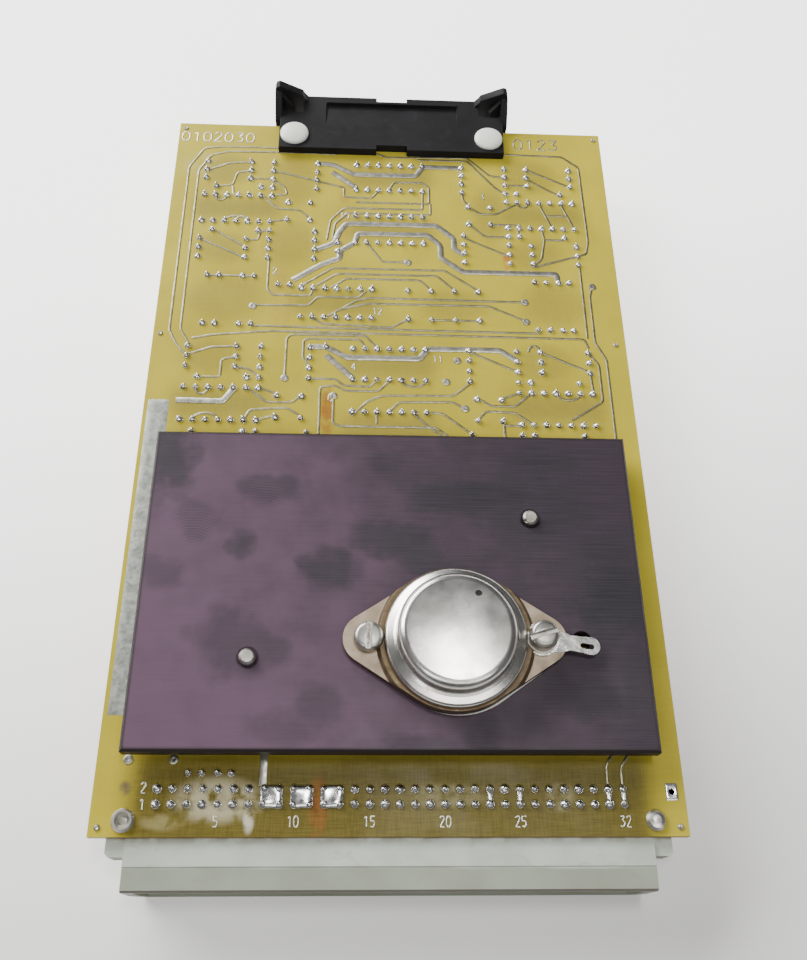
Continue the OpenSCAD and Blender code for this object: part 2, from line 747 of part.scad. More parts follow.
// Bent lead of a lying part: up from the board and in to the body along +X
module bent_lead(reach, z, r) {
  bend = 2 * r;
  cylinder(h = z - bend, r = r, $fn = 16);
  translate([bend, 0, z - bend]) rotate([90, 0, 0]) rotate([0, 0, 90])
    rotate_extrude(angle = 90, $fn = 16) translate([bend, 0]) circle(r = r);
  translate([bend, 0, z]) rotate([0, 90, 0]) cylinder(h = reach - bend, r = r, $fn = 16);
}

// Both leads of a lying part whose body is l long between its two holes
module lead_pair(span, l, z, r) {
  reach = (span - l) / 2;
  bent_lead(reach, z, r);
  translate([span, 0, 0]) mirror([1, 0, 0]) bent_lead(reach, z, r);
}

module resistors() {
  color([0.62, 0.5, 0.36]) under_board() for (p = res_at) at_grid(p)
    translate([(res_span * pitch - res_l) / 2, 0, res_z]) rotate([0, 90, 0])
      rotate_extrude($fn = 24) polygon([
        [0, 0], [res_r - 0.3, 0], [res_r, 0.35], [res_r, 1.3], [res_r - 0.18, 1.7],
        [res_r - 0.18, res_l - 1.7], [res_r, res_l - 1.3], [res_r, res_l - 0.35],
        [res_r - 0.3, res_l], [0, res_l]
      ]);
}

module resistor_leads() {
  color([0.75, 0.75, 0.73]) under_board()
    for (p = res_at) at_grid(p) lead_pair(res_span * pitch, res_l, res_z, res_wire_r);
}

module diodes() {
  color([0.15, 0.15, 0.16]) under_board() for (p = diode_at) at_grid(p)
    translate([0, (diode_span * pitch - diode_l) / 2, diode_z]) rotate([-90, 0, 0])
      rotate_extrude($fn = 24) polygon([
        [0, 0], [diode_r - 0.25, 0], [diode_r, 0.25], [diode_r, diode_l - 0.25],
        [diode_r - 0.25, diode_l], [0, diode_l]
      ]);
}

module diode_leads() {
  color([0.75, 0.75, 0.73]) under_board() for (p = diode_at) at_grid(p)
    rotate([0, 0, 90]) lead_pair(diode_span * pitch, diode_l, diode_z, diode_wire_r);
}

// A dipped disc on two straight leads
module disc_capacitors() {
  r = disc_r;
  t = disc_half_t;
  color([0.75, 0.45, 0.2]) under_board() for (p = disc_at) at_grid(p)
    translate([disc_span * pitch / 2, 0, disc_z + r]) rotate([90, 0, 0]) rotate_extrude($fn = 32)
      polygon([
        [0, -t], [r - 0.9, -t], [r - 0.25, -t / 2], [r, 0], [r - 0.25, t / 2], [r - 0.9, t], [0, t]
      ]);
}

module disc_capacitor_leads() {
  dx = disc_span * pitch / 2;
  top = disc_z + disc_r - sqrt(disc_r * disc_r - dx * dx) + 0.3;
  color([0.75, 0.75, 0.73]) under_board() for (q = across(disc_at, disc_span))
    at_grid(q) cylinder(h = top, r = disc_wire_r, $fn = 16);
}

// Moulded box on two straight leads
module film_capacitors() {
  color([0.2, 0.3, 0.5]) under_board() for (p = film_at) at_grid(p)
    translate([0, film_span * pitch / 2, film_z])
      chamfered_block(film_box[0], film_box[1], film_box[2], 0.3);
}

module film_capacitor_leads() {
  color([0.75, 0.75, 0.73]) under_board()
    for (q = along(film_at, film_span)) at_grid(q) cylinder(h = film_z, r = film_wire_r, $fn = 16);
}

// Dipped bead, drawn out towards its two leads
module bead_capacitors() {
  color([0.75, 0.55, 0.15]) under_board() for (p = bead_at) at_grid(p)
    translate([bead_span * pitch / 2, 0, bead_z]) rotate_extrude($fn = 32) polygon(concat(
      [[0, 0], [1.5, 0], [1.7, 0.3]],
      [for (a = [-30:15:75]) [bead_r * cos(a), 3 + bead_r * sin(a)]],
      [[0, 5]]
    ));
}

module bead_capacitor_leads() {
  color([0.75, 0.75, 0.73]) under_board()
    for (q = across(bead_at, bead_span)) at_grid(q) cylinder(h = bead_z, r = bead_wire_r, $fn = 16);
}

module component_solder_joints() {
  color([0.8, 0.8, 0.8]) in_card() for (q = lead_points) at_grid(q) solder_cone(part_joint);
}

circuit_board();
plug_housing();
contact_row(0);  // plug_contacts_row_a
contact_row(1);  // plug_contacts_row_b
plug_rivet(-1, false);  // plug_rivet_left
plug_rivet(1, true);  // plug_rivet_right
plug_solder_joints();
card_handle();
handle_rivet(-1);  // handle_rivet_left
handle_rivet(1);  // handle_rivet_right
heatsink_plate();
plate_screws();
plate_lock_washers();
plate_spacer_nuts();
insulating_washer();
regulator_base();
regulator_can();
regulator_die();
regulator_pins();
regulator_pin_seals();
regulator_screw(-1, can_z, left_head);  // regulator_screw_left
regulator_screw(1, can_z + lug_t + lock_h, right_head);  // regulator_screw_right
regulator_head_washer();
solder_lug();
regulator_bushes();
regulator_clamp_nuts();
regulator_lock_washers();
regulator_end_nuts();
ic_body(channel_ic_at[0]);  // channel_ic_1
ic_body(channel_ic_at[1]);  // channel_ic_2
ic_body(channel_ic_at[2]);  // channel_ic_3
ic_body(channel_ic_at[3]);  // channel_ic_4
ic_body(centre_ics[0]);  // centre_ic_1
ic_body(centre_ics[1]);  // centre_ic_2
ic_body(centre_ics[2]);  // centre_ic_3
ic_body(centre_ics[3]);  // centre_ic_4
ic_body(centre_ics[4]);  // centre_ic_5
ic_pin_set(channel_ic_at);  // channel_ic_pins
ic_pin_set(centre_ics);  // centre_ic_pins
resistors();
resistor_leads();
diodes();
diode_leads();
disc_capacitors();
disc_capacitor_leads();
film_capacitors();
film_capacitor_leads();
bead_capacitors();
bead_capacitor_leads();
component_solder_joints();
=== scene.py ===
"""Looks of the plug-in control card: materials, tinned tracks, solder, colour rings, stage and camera.

Lengths are in metres. Places on the board are in steps of its drilling grid, counted from the
middle of the board and from its plug edge.
"""

import math
import random

import bmesh
import bpy
from mathutils import Matrix, Vector, noise


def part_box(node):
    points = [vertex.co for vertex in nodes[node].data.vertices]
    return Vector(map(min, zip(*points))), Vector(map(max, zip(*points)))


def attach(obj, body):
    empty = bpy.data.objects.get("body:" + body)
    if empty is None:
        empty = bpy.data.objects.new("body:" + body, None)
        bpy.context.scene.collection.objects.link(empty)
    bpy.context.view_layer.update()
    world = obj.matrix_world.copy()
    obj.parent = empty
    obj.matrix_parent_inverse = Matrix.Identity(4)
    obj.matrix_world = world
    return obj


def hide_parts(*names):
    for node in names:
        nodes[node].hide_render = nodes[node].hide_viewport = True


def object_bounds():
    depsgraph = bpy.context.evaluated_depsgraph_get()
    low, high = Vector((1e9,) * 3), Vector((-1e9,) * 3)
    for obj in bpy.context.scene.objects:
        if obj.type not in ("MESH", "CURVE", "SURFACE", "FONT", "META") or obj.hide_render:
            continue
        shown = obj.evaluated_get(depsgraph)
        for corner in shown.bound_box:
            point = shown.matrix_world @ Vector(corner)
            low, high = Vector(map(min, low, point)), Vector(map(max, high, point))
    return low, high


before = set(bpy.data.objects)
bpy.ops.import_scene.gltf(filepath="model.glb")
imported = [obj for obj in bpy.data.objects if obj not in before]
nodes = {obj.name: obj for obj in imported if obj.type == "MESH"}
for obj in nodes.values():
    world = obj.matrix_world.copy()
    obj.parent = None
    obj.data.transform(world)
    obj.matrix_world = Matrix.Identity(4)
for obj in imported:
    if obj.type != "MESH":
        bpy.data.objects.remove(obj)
cad_low, cad_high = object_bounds()

MM = 0.001
PITCH = 2.54 * MM
board_low, board_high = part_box("circuit_board")
BOARD_TOP = board_high.z
random.seed(20)


# ---------------------------------------------------------------- places and meshes


def at_grid(gx, gy):
    """A point on the solder side, from grid steps."""
    return Vector((gx * PITCH, board_low.y + gy * PITCH, BOARD_TOP))


def at_mm(x, y):
    """A point on the solder side, from millimetres."""
    return Vector((x * MM, board_low.y + y * MM, BOARD_TOP))


def islands(name):
    """Lowest and highest corner of each separate solid in a CAD node."""
    mesh = bmesh.new()
    mesh.from_mesh(nodes[name].data)
    bmesh.ops.remove_doubles(mesh, verts=mesh.verts, dist=0.001 * MM)
    found = []
    left = set(mesh.verts)
    while left:
        group, edge = [], [left.pop()]
        while edge:
            vert = edge.pop()
            group.append(vert.co)
            for link in vert.link_edges:
                other = link.other_vert(vert)
                if other in left:
                    left.remove(other)
                    edge.append(other)
        low = Vector(min(co[k] for co in group) for k in range(3))
        high = Vector(max(co[k] for co in group) for k in range(3))
        found.append((low, high))
    mesh.free()
    return sorted(found, key=lambda box: (round(box[0].y, 5), round(box[0].x, 5)))


def piece(name, mesh, materials, replaces=(), smooth=50):
    """Finishes a bmesh as a piece of the card that rides on its body."""
    bmesh.ops.recalc_face_normals(mesh, faces=mesh.faces)
    data = bpy.data.meshes.new(name)
    mesh.to_mesh(data)
    mesh.free()
    made = bpy.data.objects.new(name, data)
    bpy.context.scene.collection.objects.link(made)
    for material in materials:
        data.materials.append(material)
    data.polygons.foreach_set("use_smooth", [True] * len(data.polygons))
    data.set_sharp_from_angle(angle=math.radians(smooth))
    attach(made, "root")
    if replaces:
        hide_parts(*replaces)
    return made


def lathe(mesh, centre, profile, segments, lean=(0, 0)):
    """Turns (radius, height) pairs about a point; upper rings shift sideways by lean."""
    top = profile[-1][1] or 1
    rings = []
    for radius, height in profile:
        share = height / top
        ring = []
        for k in range(segments):
            a = 2 * math.pi * k / segments
            ring.append(mesh.verts.new((
                centre.x + lean[0] * share + radius * math.cos(a),
                centre.y + lean[1] * share + radius * math.sin(a),
                centre.z + height,
            )))
        rings.append(ring)
    for low, high in zip(rings, rings[1:]):
        for k in range(segments):
            mesh.faces.new((low[k], low[k - 1], high[k - 1], high[k]))
    for ring in (rings[0], rings[-1]):
        mesh.faces.new(ring)


def band(mesh, centre, radius, width, axis, material=0):
    """A thin closed ring round a lying body; axis is 0 for X and 1 for Y."""
    segments = 20
    outside = radius + 0.03 * MM
    loops = []
    for r, shift in ((radius, -1), (outside, -1), (outside, 1), (radius, 1)):
        loop = []
        for k in range(segments):
            a = 2 * math.pi * k / segments
            along, across = shift * width / 2, r * math.cos(a)
            dx, dy = (along, across) if axis == 0 else (across, along)
            loop.append(mesh.verts.new((centre.x + dx, centre.y + dy, centre.z + r * math.sin(a))))
        loops.append(loop)
    for i in range(4):
        here, there = loops[i], loops[(i + 1) % 4]
        for k in range(segments):
            mesh.faces.new((here[k], here[k - 1], there[k - 1], there[k])).material_index = material


# ---------------------------------------------------------------- materials


class Paint:
    """One material, with short calls for the nodes that make it up."""

    def __init__(self, name, **sockets):
        self.material = bpy.data.materials.new(name)
        self.material.use_nodes = True
        self.tree = self.material.node_tree
        self.shader = self.tree.nodes["Principled BSDF"]
        for socket, value in sockets.items():
            self.put(self.shader.inputs[socket.replace("_", " ")], value)
        self.place = self.tree.nodes.new("ShaderNodeTexCoord").outputs["Object"]

    def put(self, socket, value):
        if isinstance(value, bpy.types.NodeSocket):
            self.tree.links.new(value, socket)
        elif isinstance(value, tuple) and len(value) == 3 and len(socket.default_value) == 4:
            socket.default_value = (*value, 1)
        else:
            socket.default_value = value

    def node(self, kind, inputs, **settings):
        made = self.tree.nodes.new("ShaderNode" + kind)
        for key, value in settings.items():
            setattr(made, key, value)
        for key, value in inputs.items():
            self.put(made.inputs[key], value)
        return made

    def math(self, operation, a, b=0.0, clamp=False):
        return self.node("Math", {0: a, 1: b}, operation=operation, use_clamp=clamp).outputs[0]

    def noise(self, size, detail=4, stretch=(1, 1, 1), shift=0.0, warp=0.0):
        """Noise with features of about that size, longer along an axis whose stretch is over 1."""
        scale = tuple(1 / (size * s) for s in stretch)
        moved = self.node(
            "Mapping", {"Vector": self.place, "Scale": scale, "Location": (shift, shift, shift)}
        ).outputs[0]
        return self.node(
            "TexNoise", {"Vector": moved, "Scale": 1.0, "Detail": detail, "Distortion": warp}
        ).outputs["Fac"]

    def span(self, value, low, high, to_low=0.0, to_high=1.0):
        """Maps low..high to another range, held at its ends, with a soft start and stop."""
        return self.node("MapRange", {
            "Value": value, "From Min": low, "From Max": high, "To Min": to_low, "To Max": to_high
        }, interpolation_type="SMOOTHSTEP").outputs[0]

    def mix(self, share, a, b):
        made = self.tree.nodes.new("ShaderNodeMix")
        made.data_type = "RGBA"
        self.put(made.inputs[0], share)
        self.put(made.inputs[6], a)
        self.put(made.inputs[7], b)
        return made.outputs[2]

    def axes(self):
        return self.node("SeparateXYZ", {0: self.place}).outputs

    def facing(self):
        """How far a face looks up or down, from 0 on a wall to 1."""
        normal = self.tree.nodes.new("ShaderNodeNewGeometry").outputs["Normal"]
        return self.math("ABSOLUTE", self.node("SeparateXYZ", {0: normal}).outputs[2])

    def radius_from(self, point):
        """Distance from an upright line."""
        x, y, _ = self.axes()
        dx, dy = self.math("SUBTRACT", x, point.x), self.math("SUBTRACT", y, point.y)
        squares = self.math("ADD", self.math("MULTIPLY", dx, dx), self.math("MULTIPLY", dy, dy))
        return self.math("SQRT", squares)

    def spot(self, centre, half_x, half_y, soft=0.6, ragged=None):
        """A soft-edged ellipse: 1 inside, 0 outside; ragged moves its edge in and out."""
        x, y, _ = self.axes()
        u = self.math("DIVIDE", self.math("SUBTRACT", x, centre.x), half_x)
        v = self.math("DIVIDE", self.math("SUBTRACT", y, centre.y), half_y)
        distance = self.math("ADD", self.math("MULTIPLY", u, u), self.math("MULTIPLY", v, v))
        if ragged is not None:
            distance = self.math("ADD", distance, ragged)
        return self.span(distance, 1 + soft, 1 - soft)

    def ridges(self, centre, spacing):
        """Rings about a point, a little bent, as in a fingerprint."""
        scale = math.pi / 10 / spacing
        moved = self.node("Mapping", {
            "Vector": self.place, "Scale": (scale, scale, 0), "Location": (*(-centre * scale).xy, 0)
        }).outputs[0]
        wave = self.node("TexWave", {
            "Vector": moved, "Scale": 1.0, "Distortion": 3.0, "Detail": 1.0, "Detail Scale": 0.3
        }, wave_type="RINGS", rings_direction="Z")
        return wave.outputs["Fac"]

    def patch(self, low, high, soft):
        """A soft-edged rectangle: 1 inside, 0 outside."""
        x, y, _ = self.axes()
        shares = [
            self.span(x, low.x - soft, low.x + soft), self.span(x, high.x + soft, high.x - soft),
            self.span(y, low.y - soft, low.y + soft), self.span(y, high.y + soft, high.y - soft),
        ]
        made = shares[0]
        for share in shares[1:]:
            made = self.math("MULTIPLY", made, share)
        return made

    def bump(self, height, strength, depth, over=None):
        inputs = {"Height": height, "Strength": strength, "Distance": depth}
        if over is not None:
            inputs["Normal"] = over
        return self.node("Bump", inputs).outputs[0]

    def finish(self, colour, roughness=None, normal=None):
        self.put(self.shader.inputs["Base Color"], colour)
        if roughness is not None:
            self.put(self.shader.inputs["Roughness"], roughness)
        if normal is not None:
            self.put(self.shader.inputs["Normal"], normal)
        return self.material


def laminate():
    """Glass-epoxy seen through its lacquer, with painted shadows of the ICs, of the resistors and diodes
    and of the plate, painted light that brightens its far part and, with the laminate's own paler edge,
    its side edges, stains and a brown cut edge.
    """
    p = Paint("laminate", IOR=1.45, Specular_IOR_Level=0.14)
    cloud = p.span(p.noise(14 * MM, 4), 0.32, 0.68)
    colour = p.mix(cloud, (0.37, 0.30, 0.030), (0.26, 0.21, 0.018))
    # Painted shadow of the plate on the strip between the plug edge and the plate.
    colour = p.mix(p.patch(at_mm(-44, -5), at_mm(44, 13), 3 * MM), colour, (0.100, 0.078, 0.013))
    x, y, _ = p.axes()
    # Painted light: towards the far end the board is painted brighter, as if lit from the far side.
    far = p.span(y, board_low.y + 25 * MM, board_high.y - 25 * MM)
    colour = p.mix(p.math("MULTIPLY", far, 0.8), colour, (0.54, 0.455, 0.040))
    # Lighter along both side edges: partly the laminate's own paler edge, partly painted light.
    rim = p.math("MAXIMUM", p.span(x, -42 * MM, -48 * MM), p.span(x, 42 * MM, 48 * MM))
    colour = p.mix(p.math("MULTIPLY", rim, 0.5), colour, (0.56, 0.47, 0.035))
    colour = p.mix(p.math("MULTIPLY", p.math("MULTIPLY", cloud, far), 0.45), colour, (0.36, 0.29, 0.03))
    shadow = 0.0
    ics = [n for n in nodes if "_ic_" in n and not n.endswith("pins")]
    for name in sorted(ics):
        shadow = p.math("MAXIMUM", p.patch(*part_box(name), 2.6 * MM), shadow)
    for gx, gy, half_x, half_y in PART_SHADOWS:
        spot = p.spot(at_grid(gx, gy), half_x * PITCH, half_y * PITCH, 0.9)
        shadow = p.math("MAXIMUM", p.math("MULTIPLY", spot, 0.7), shadow)
    colour = p.mix(p.math("MULTIPLY", shadow, 0.72), colour, (0.23, 0.19, 0.038))
    for gx, gy, half_x, half_y, share, tint in STAINS:
        centre = at_grid(gx, gy)
        mottled = p.math("MULTIPLY", p.spot(centre, half_x * PITCH, half_y * PITCH, 0.9),
                         p.span(p.noise(2.5 * MM, 4), 0.3, 0.6))
        colour = p.mix(p.math("MULTIPLY", mottled, share), colour, tint)
    weave_x = p.noise(0.22 * MM, 2, (1, 14, 1))
    weave_y = p.noise(0.22 * MM, 2, (14, 1, 1))
    weave = p.math("ADD", weave_x, weave_y)
    colour = p.mix(p.span(weave, 0.6, 1.4, 0.0, 0.10), colour, (0.62, 0.54, 0.12))
    cut = p.span(p.facing(), 0.9, 0.4)
    brown = p.mix(p.noise(0.6 * MM, 2, (12, 12, 0.3)), (0.36, 0.2, 0.05), (0.16, 0.08, 0.02))
    colour = p.mix(cut, colour, brown)
    rough = p.span(p.noise(9 * MM, 5), 0.3, 0.7, 0.30, 0.45)
    return p.finish(colour, rough, p.bump(p.noise(1.5 * MM, 4), 0.10, 0.05 * MM))


# Shadows of the rows of resistors and diodes: middle and half sizes in grid steps
PART_SHADOWS = (
    (-14.7, 57.4, 2.4, 1.6), (-14.7, 48.4, 2.4, 1.6), (-8.7, 56.4, 2.4, 2.8), (-8.7, 48.9, 2.4, 2.2),
    (12.5, 57.4, 2.4, 2.0), (12.5, 48.4, 2.4, 1.6), (9.0, 53.0, 1.6, 3.0), (-14.0, 43.0, 3.0, 2.4),
    (14.0, 43.0, 2.6, 2.4), (5.4, 42.7, 3.0, 1.6), (-14.7, 37.1, 2.4, 1.6), (12.5, 37.1, 2.4, 1.6),
)
# Stains on the solder side: place, half width and height in grid steps, strength, tint
STAINS = (
    (-5.2, 32.0, 0.6, 2.2, 0.85, (0.27, 0.085, 0.015)),
    (10.1, 47.7, 0.3, 1.0, 0.75, (0.42, 0.09, 0.02)),
    (-4.3, 52.5, 0.5, 4.0, 0.35, (0.36, 0.15, 0.04)),
    (-9.4, 43.0, 0.9, 3.5, 0.30, (0.34, 0.18, 0.05)),
    (-4.9, 1.9, 0.6, 2.0, 0.80, (0.22, 0.065, 0.012)),
    (-11.5, 2.3, 2.6, 1.3, 0.75, (0.58, 0.53, 0.36)),
    (-9.4, 1.1, 0.35, 0.8, 0.7, (0.75, 0.72, 0.58)),
    (-15.0, 0.9, 1.3, 0.5, 0.35, (0.45, 0.40, 0.20)),
    (3.5, 2.6, 2.5, 0.7, 0.35, (0.45, 0.42, 0.25)),
    (11.2, 2.5, 0.9, 0.8, 0.45, (0.50, 0.46, 0.28)),
    (-17.5, 58.0, 1.6, 1.4, 0.30, (0.58, 0.52, 0.26)),
    (-17.6, 3.05, 0.42, 0.42, 0.95, (0.085, 0.065, 0.045)),
)


def tinned(name, dull, bright, low_rough, high_rough, lumps):
    p = Paint(name, Metallic=1.0)
    colour = p.mix(p.span(p.noise(1.6 * MM, 5), 0.35, 0.65), dull, bright)
    rough = p.span(p.noise(0.8 * MM, 4, shift=3), 0.3, 0.7, low_rough, high_rough)
    return p.finish(colour, rough, p.bump(p.noise(0.45 * MM, 3, shift=7), lumps, 0.08 * MM))


def anodised_plate():
    """Black anodising faded to purple, with a painted sheen that lightens it towards the left and the
    front, dark blotches, fingerprints, fine brushing and sides painted dark as shade.
    """
    p = Paint("anodised_plate", IOR=1.5, Specular_IOR_Level=0.30)
    low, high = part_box("heatsink_plate")
    x, y, _ = p.axes()
    # Painted sheen mixed with real fading: the plate is painted lighter towards its left and front
    # edges, and mottled by noise.
    fade_and_sheen = p.math("MULTIPLY", p.span(x, low.x, high.x), 0.60)
    fade_and_sheen = p.math("ADD", fade_and_sheen, p.math("MULTIPLY", p.span(y, low.y, high.y), 0.20))
    fade_and_sheen = p.math("ADD", fade_and_sheen, p.math("MULTIPLY", p.noise(24 * MM, 3, shift=2), 0.30))
    fade_and_sheen = p.math("ADD", fade_and_sheen, p.math("MULTIPLY", p.noise(6 * MM, 6, shift=5), 0.55))
    colour = p.mix(p.span(fade_and_sheen, 0.35, 1.15), (0.098, 0.053, 0.088), (0.027, 0.018, 0.027))
    ragged = p.math("MULTIPLY", p.math("SUBTRACT", p.noise(4 * MM, 6, shift=9), 0.5), 3.2)
    dark = 0.0
    for px, py, half_x, half_y, strength in DARK_PATCHES:
        spot = p.spot(at_mm(px, py), half_x * MM, half_y * MM, 0.9, ragged)
        dark = p.math("MAXIMUM", p.math("MULTIPLY", spot, strength), dark)
    for px, py in FINGERPRINTS:
        touched = p.spot(at_mm(px, py), 5 * MM, 4 * MM, 0.6, ragged)
        ridge = p.math("MULTIPLY", p.ridges(at_mm(px, py - 6), 0.55 * MM), touched)
        dark = p.math("SUBTRACT", dark, p.math("MULTIPLY", ridge, 0.35), clamp=True)
    colour = p.mix(dark, colour, (0.011, 0.011, 0.016))
    speck = p.span(p.noise(0.35 * MM, 2, shift=11), 0.68, 0.8)
    colour = p.mix(p.math("MULTIPLY", speck, 0.25), colour, (0.14, 0.11, 0.14))
    brushing = p.span(p.noise(0.22 * MM, 4, (50, 1, 1)), 0.35, 0.65)
    colour = p.mix(p.math("MULTIPLY", brushing, 0.09), colour, (0.13, 0.09, 0.13))
    # Painted shade: the sides and a narrow band round the edge of the top face get a dark colour.
    rim = p.patch(low + Vector((0.6, 0.6, 0)) * MM, high - Vector((0.6, 0.6, 0)) * MM, 0.45 * MM)
    side = p.mix(p.noise(2 * MM, 3, (6, 1, 1)), (0.022, 0.013, 0.014), (0.010, 0.007, 0.008))
    colour = p.mix(p.span(rim, 0.0, 1.0), side, colour)
    rough = p.span(p.noise(9 * MM, 5, shift=13), 0.3, 0.7, 0.44, 0.56)
    return p.finish(colour, rough, p.bump(brushing, 0.08, 0.02 * MM))


# Dark blotches on the plate: centre and half sizes in board millimetres, and strength
DARK_PATCHES = (
    (-45.6, 66.4, 7.4, 8, 0.8), (-23.1, 61.1, 6.3, 3, 0.6), (-36.1, 54.4, 4, 3.8, 0.55),
    (-27.6, 49.6, 2.6, 2.6, 0.75), (-11.7, 45.2, 5.2, 3.9, 0.75), (-0.6, 51.2, 8, 3.2, 0.7),
    (4.9, 47.3, 3.4, 3.9, 0.6), (14.5, 60, 12, 3.3, 0.75), (25.8, 57.7, 10.5, 7, 0.5),
    (29, 67.7, 5.8, 2.7, 0.45), (40.2, 38.7, 7.8, 7.5, 0.9), (34.4, 21.8, 5.2, 3.6, 0.6),
    (15.1, 15.5, 2.9, 3.5, 0.5), (2.7, 13.9, 6.8, 1.8, 0.5), (-27.8, 31.4, 6.6, 6.2, 0.5),
    (-20.8, 29.7, 3, 3.1, 0.5), (-13, 19.9, 4, 4, 0.4), (-17.3, 17.1, 6, 3, 0.3),
    (-41.7, 44.2, 4.2, 3.1, 0.4), (-1.2, 67.2, 3.9, 2, 0.35), (40.1, 49.1, 5.4, 4.5, 0.4),
    (43.2, 23, 3.5, 12, 0.4),
)
# Fingerprints on the plate: middle of the ridges in board millimetres
FINGERPRINTS = ((-36.6, 53.2), (-24.0, 58.5))


def plated(name, colour_a, colour_b, rough=(0.26, 0.42), grime=0.3, dent=0.0, slot=None):
    """Dull plating with fine scratches, shallow dents and, where asked, a slot full of brown dirt."""
    p = Paint(name, Metallic=1.0)
    colour = p.mix(p.span(p.noise(3 * MM, 5), 0.35, 0.65), colour_a, colour_b)
    dirt = p.span(p.noise(1.8 * MM, 5, shift=4, warp=1.0), 0.56, 0.72)
    colour = p.mix(p.math("MULTIPLY", dirt, grime), colour, (0.16, 0.14, 0.10))
    height = p.noise(0.2 * MM, 2, (14, 1, 1), 6)
    if dent:
        height = p.math("ADD", height, p.math("MULTIPLY", p.noise(1.6 * MM, 1, (1, 0.7, 1), 3), dent))
    if slot is not None:
        low, high = slot
        share = p.math("MULTIPLY", p.patch(low, high, 0.22 * MM), p.span(p.noise(0.5 * MM, 4), 0.3, 0.6))
        colour = p.mix(p.math("MULTIPLY", share, 0.8), colour, (0.085, 0.055, 0.035))
    value = p.span(p.noise(4 * MM, 4, shift=8), 0.3, 0.7, *rough)
    return p.finish(colour, value, p.bump(height, 0.10, 0.03 * MM if not dent else 0.3 * MM))


# The can's top is shaded as part of a large ball, since it is very slightly domed
CROWN_RADIUS = 110 * MM


def can_metal():
    """Satin nickel: fine grain, smudges, a small dark punch dot and a slight dome."""
    p = Paint("can_metal", Metallic=1.0)
    low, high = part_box("regulator_can")
    centre = (low + high) / 2
    tarnish = p.span(p.noise(6 * MM, 5, shift=1), 0.35, 0.68)
    colour = p.mix(tarnish, (0.70, 0.69, 0.66), (0.54, 0.52, 0.48))
    smudge = p.span(p.noise(2.2 * MM, 5, shift=3, warp=1.6), 0.55, 0.72)
    colour = p.mix(p.math("MULTIPLY", smudge, 0.30), colour, (0.34, 0.32, 0.28))
    dot = p.spot(centre + Vector((3.6, 6.3, 0)) * MM, 0.62 * MM, 0.55 * MM, 0.35)
    colour = p.mix(p.math("MULTIPLY", dot, 0.92), colour, (0.05, 0.045, 0.04))
    grain = p.noise(0.18 * MM, 3)
    rough = p.span(p.noise(5 * MM, 5, shift=5), 0.3, 0.7, 0.20, 0.28)
    height = p.math("SUBTRACT", grain, p.math("MULTIPLY", dot, 2.0))
    radius = p.radius_from(centre)
    dome = p.math("MULTIPLY", p.math("MULTIPLY", radius, radius), -0.5 / CROWN_RADIUS)
    domed = p.bump(dome, 1.0, 1.0)
    return p.finish(colour, rough, p.bump(height, 0.08, 0.05 * MM, domed))


def flange_metal():
    """Beige tarnished plating, with the round weld step in a golden brown that is partly painted shade
    and reflection, and sides painted dark as shade.
    """
    p = Paint("flange_metal", Metallic=0.5)
    low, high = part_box("regulator_can")
    radius = p.radius_from((low + high) / 2)
    beige = p.mix(p.span(p.noise(3 * MM, 4), 0.35, 0.65), (0.36, 0.29, 0.215), (0.28, 0.22, 0.155))
    # The golden brown ring round the can is partly the weld step's own tint and partly painted shade and
    # reflection of the can; at the can's foot it is painted darker, as shade.
    streaks = p.span(p.noise(1.2 * MM, 4, (3, 1, 1)), 0.35, 0.65)
    gold = p.mix(streaks, (0.14, 0.10, 0.052), (0.09, 0.063, 0.03))
    gold = p.mix(p.span(radius, 13.0 * MM, 12.5 * MM), gold, (0.08, 0.05, 0.02))
    share = p.span(radius, 13.95 * MM, 13.65 * MM)
    colour = p.mix(share, beige, gold)
    # Painted shade: the sides of the flange get a dark brown colour.
    side = p.mix(p.noise(0.8 * MM, 3), (0.12, 0.08, 0.05), (0.045, 0.032, 0.025))
    colour = p.mix(p.span(p.facing(), 0.75, 0.45), colour, side)
    rough = p.span(p.noise(2 * MM, 4, shift=5), 0.3, 0.7, 0.36, 0.52)
    return p.finish(colour, rough, p.bump(p.noise(0.2 * MM, 3), 0.12, 0.04 * MM))


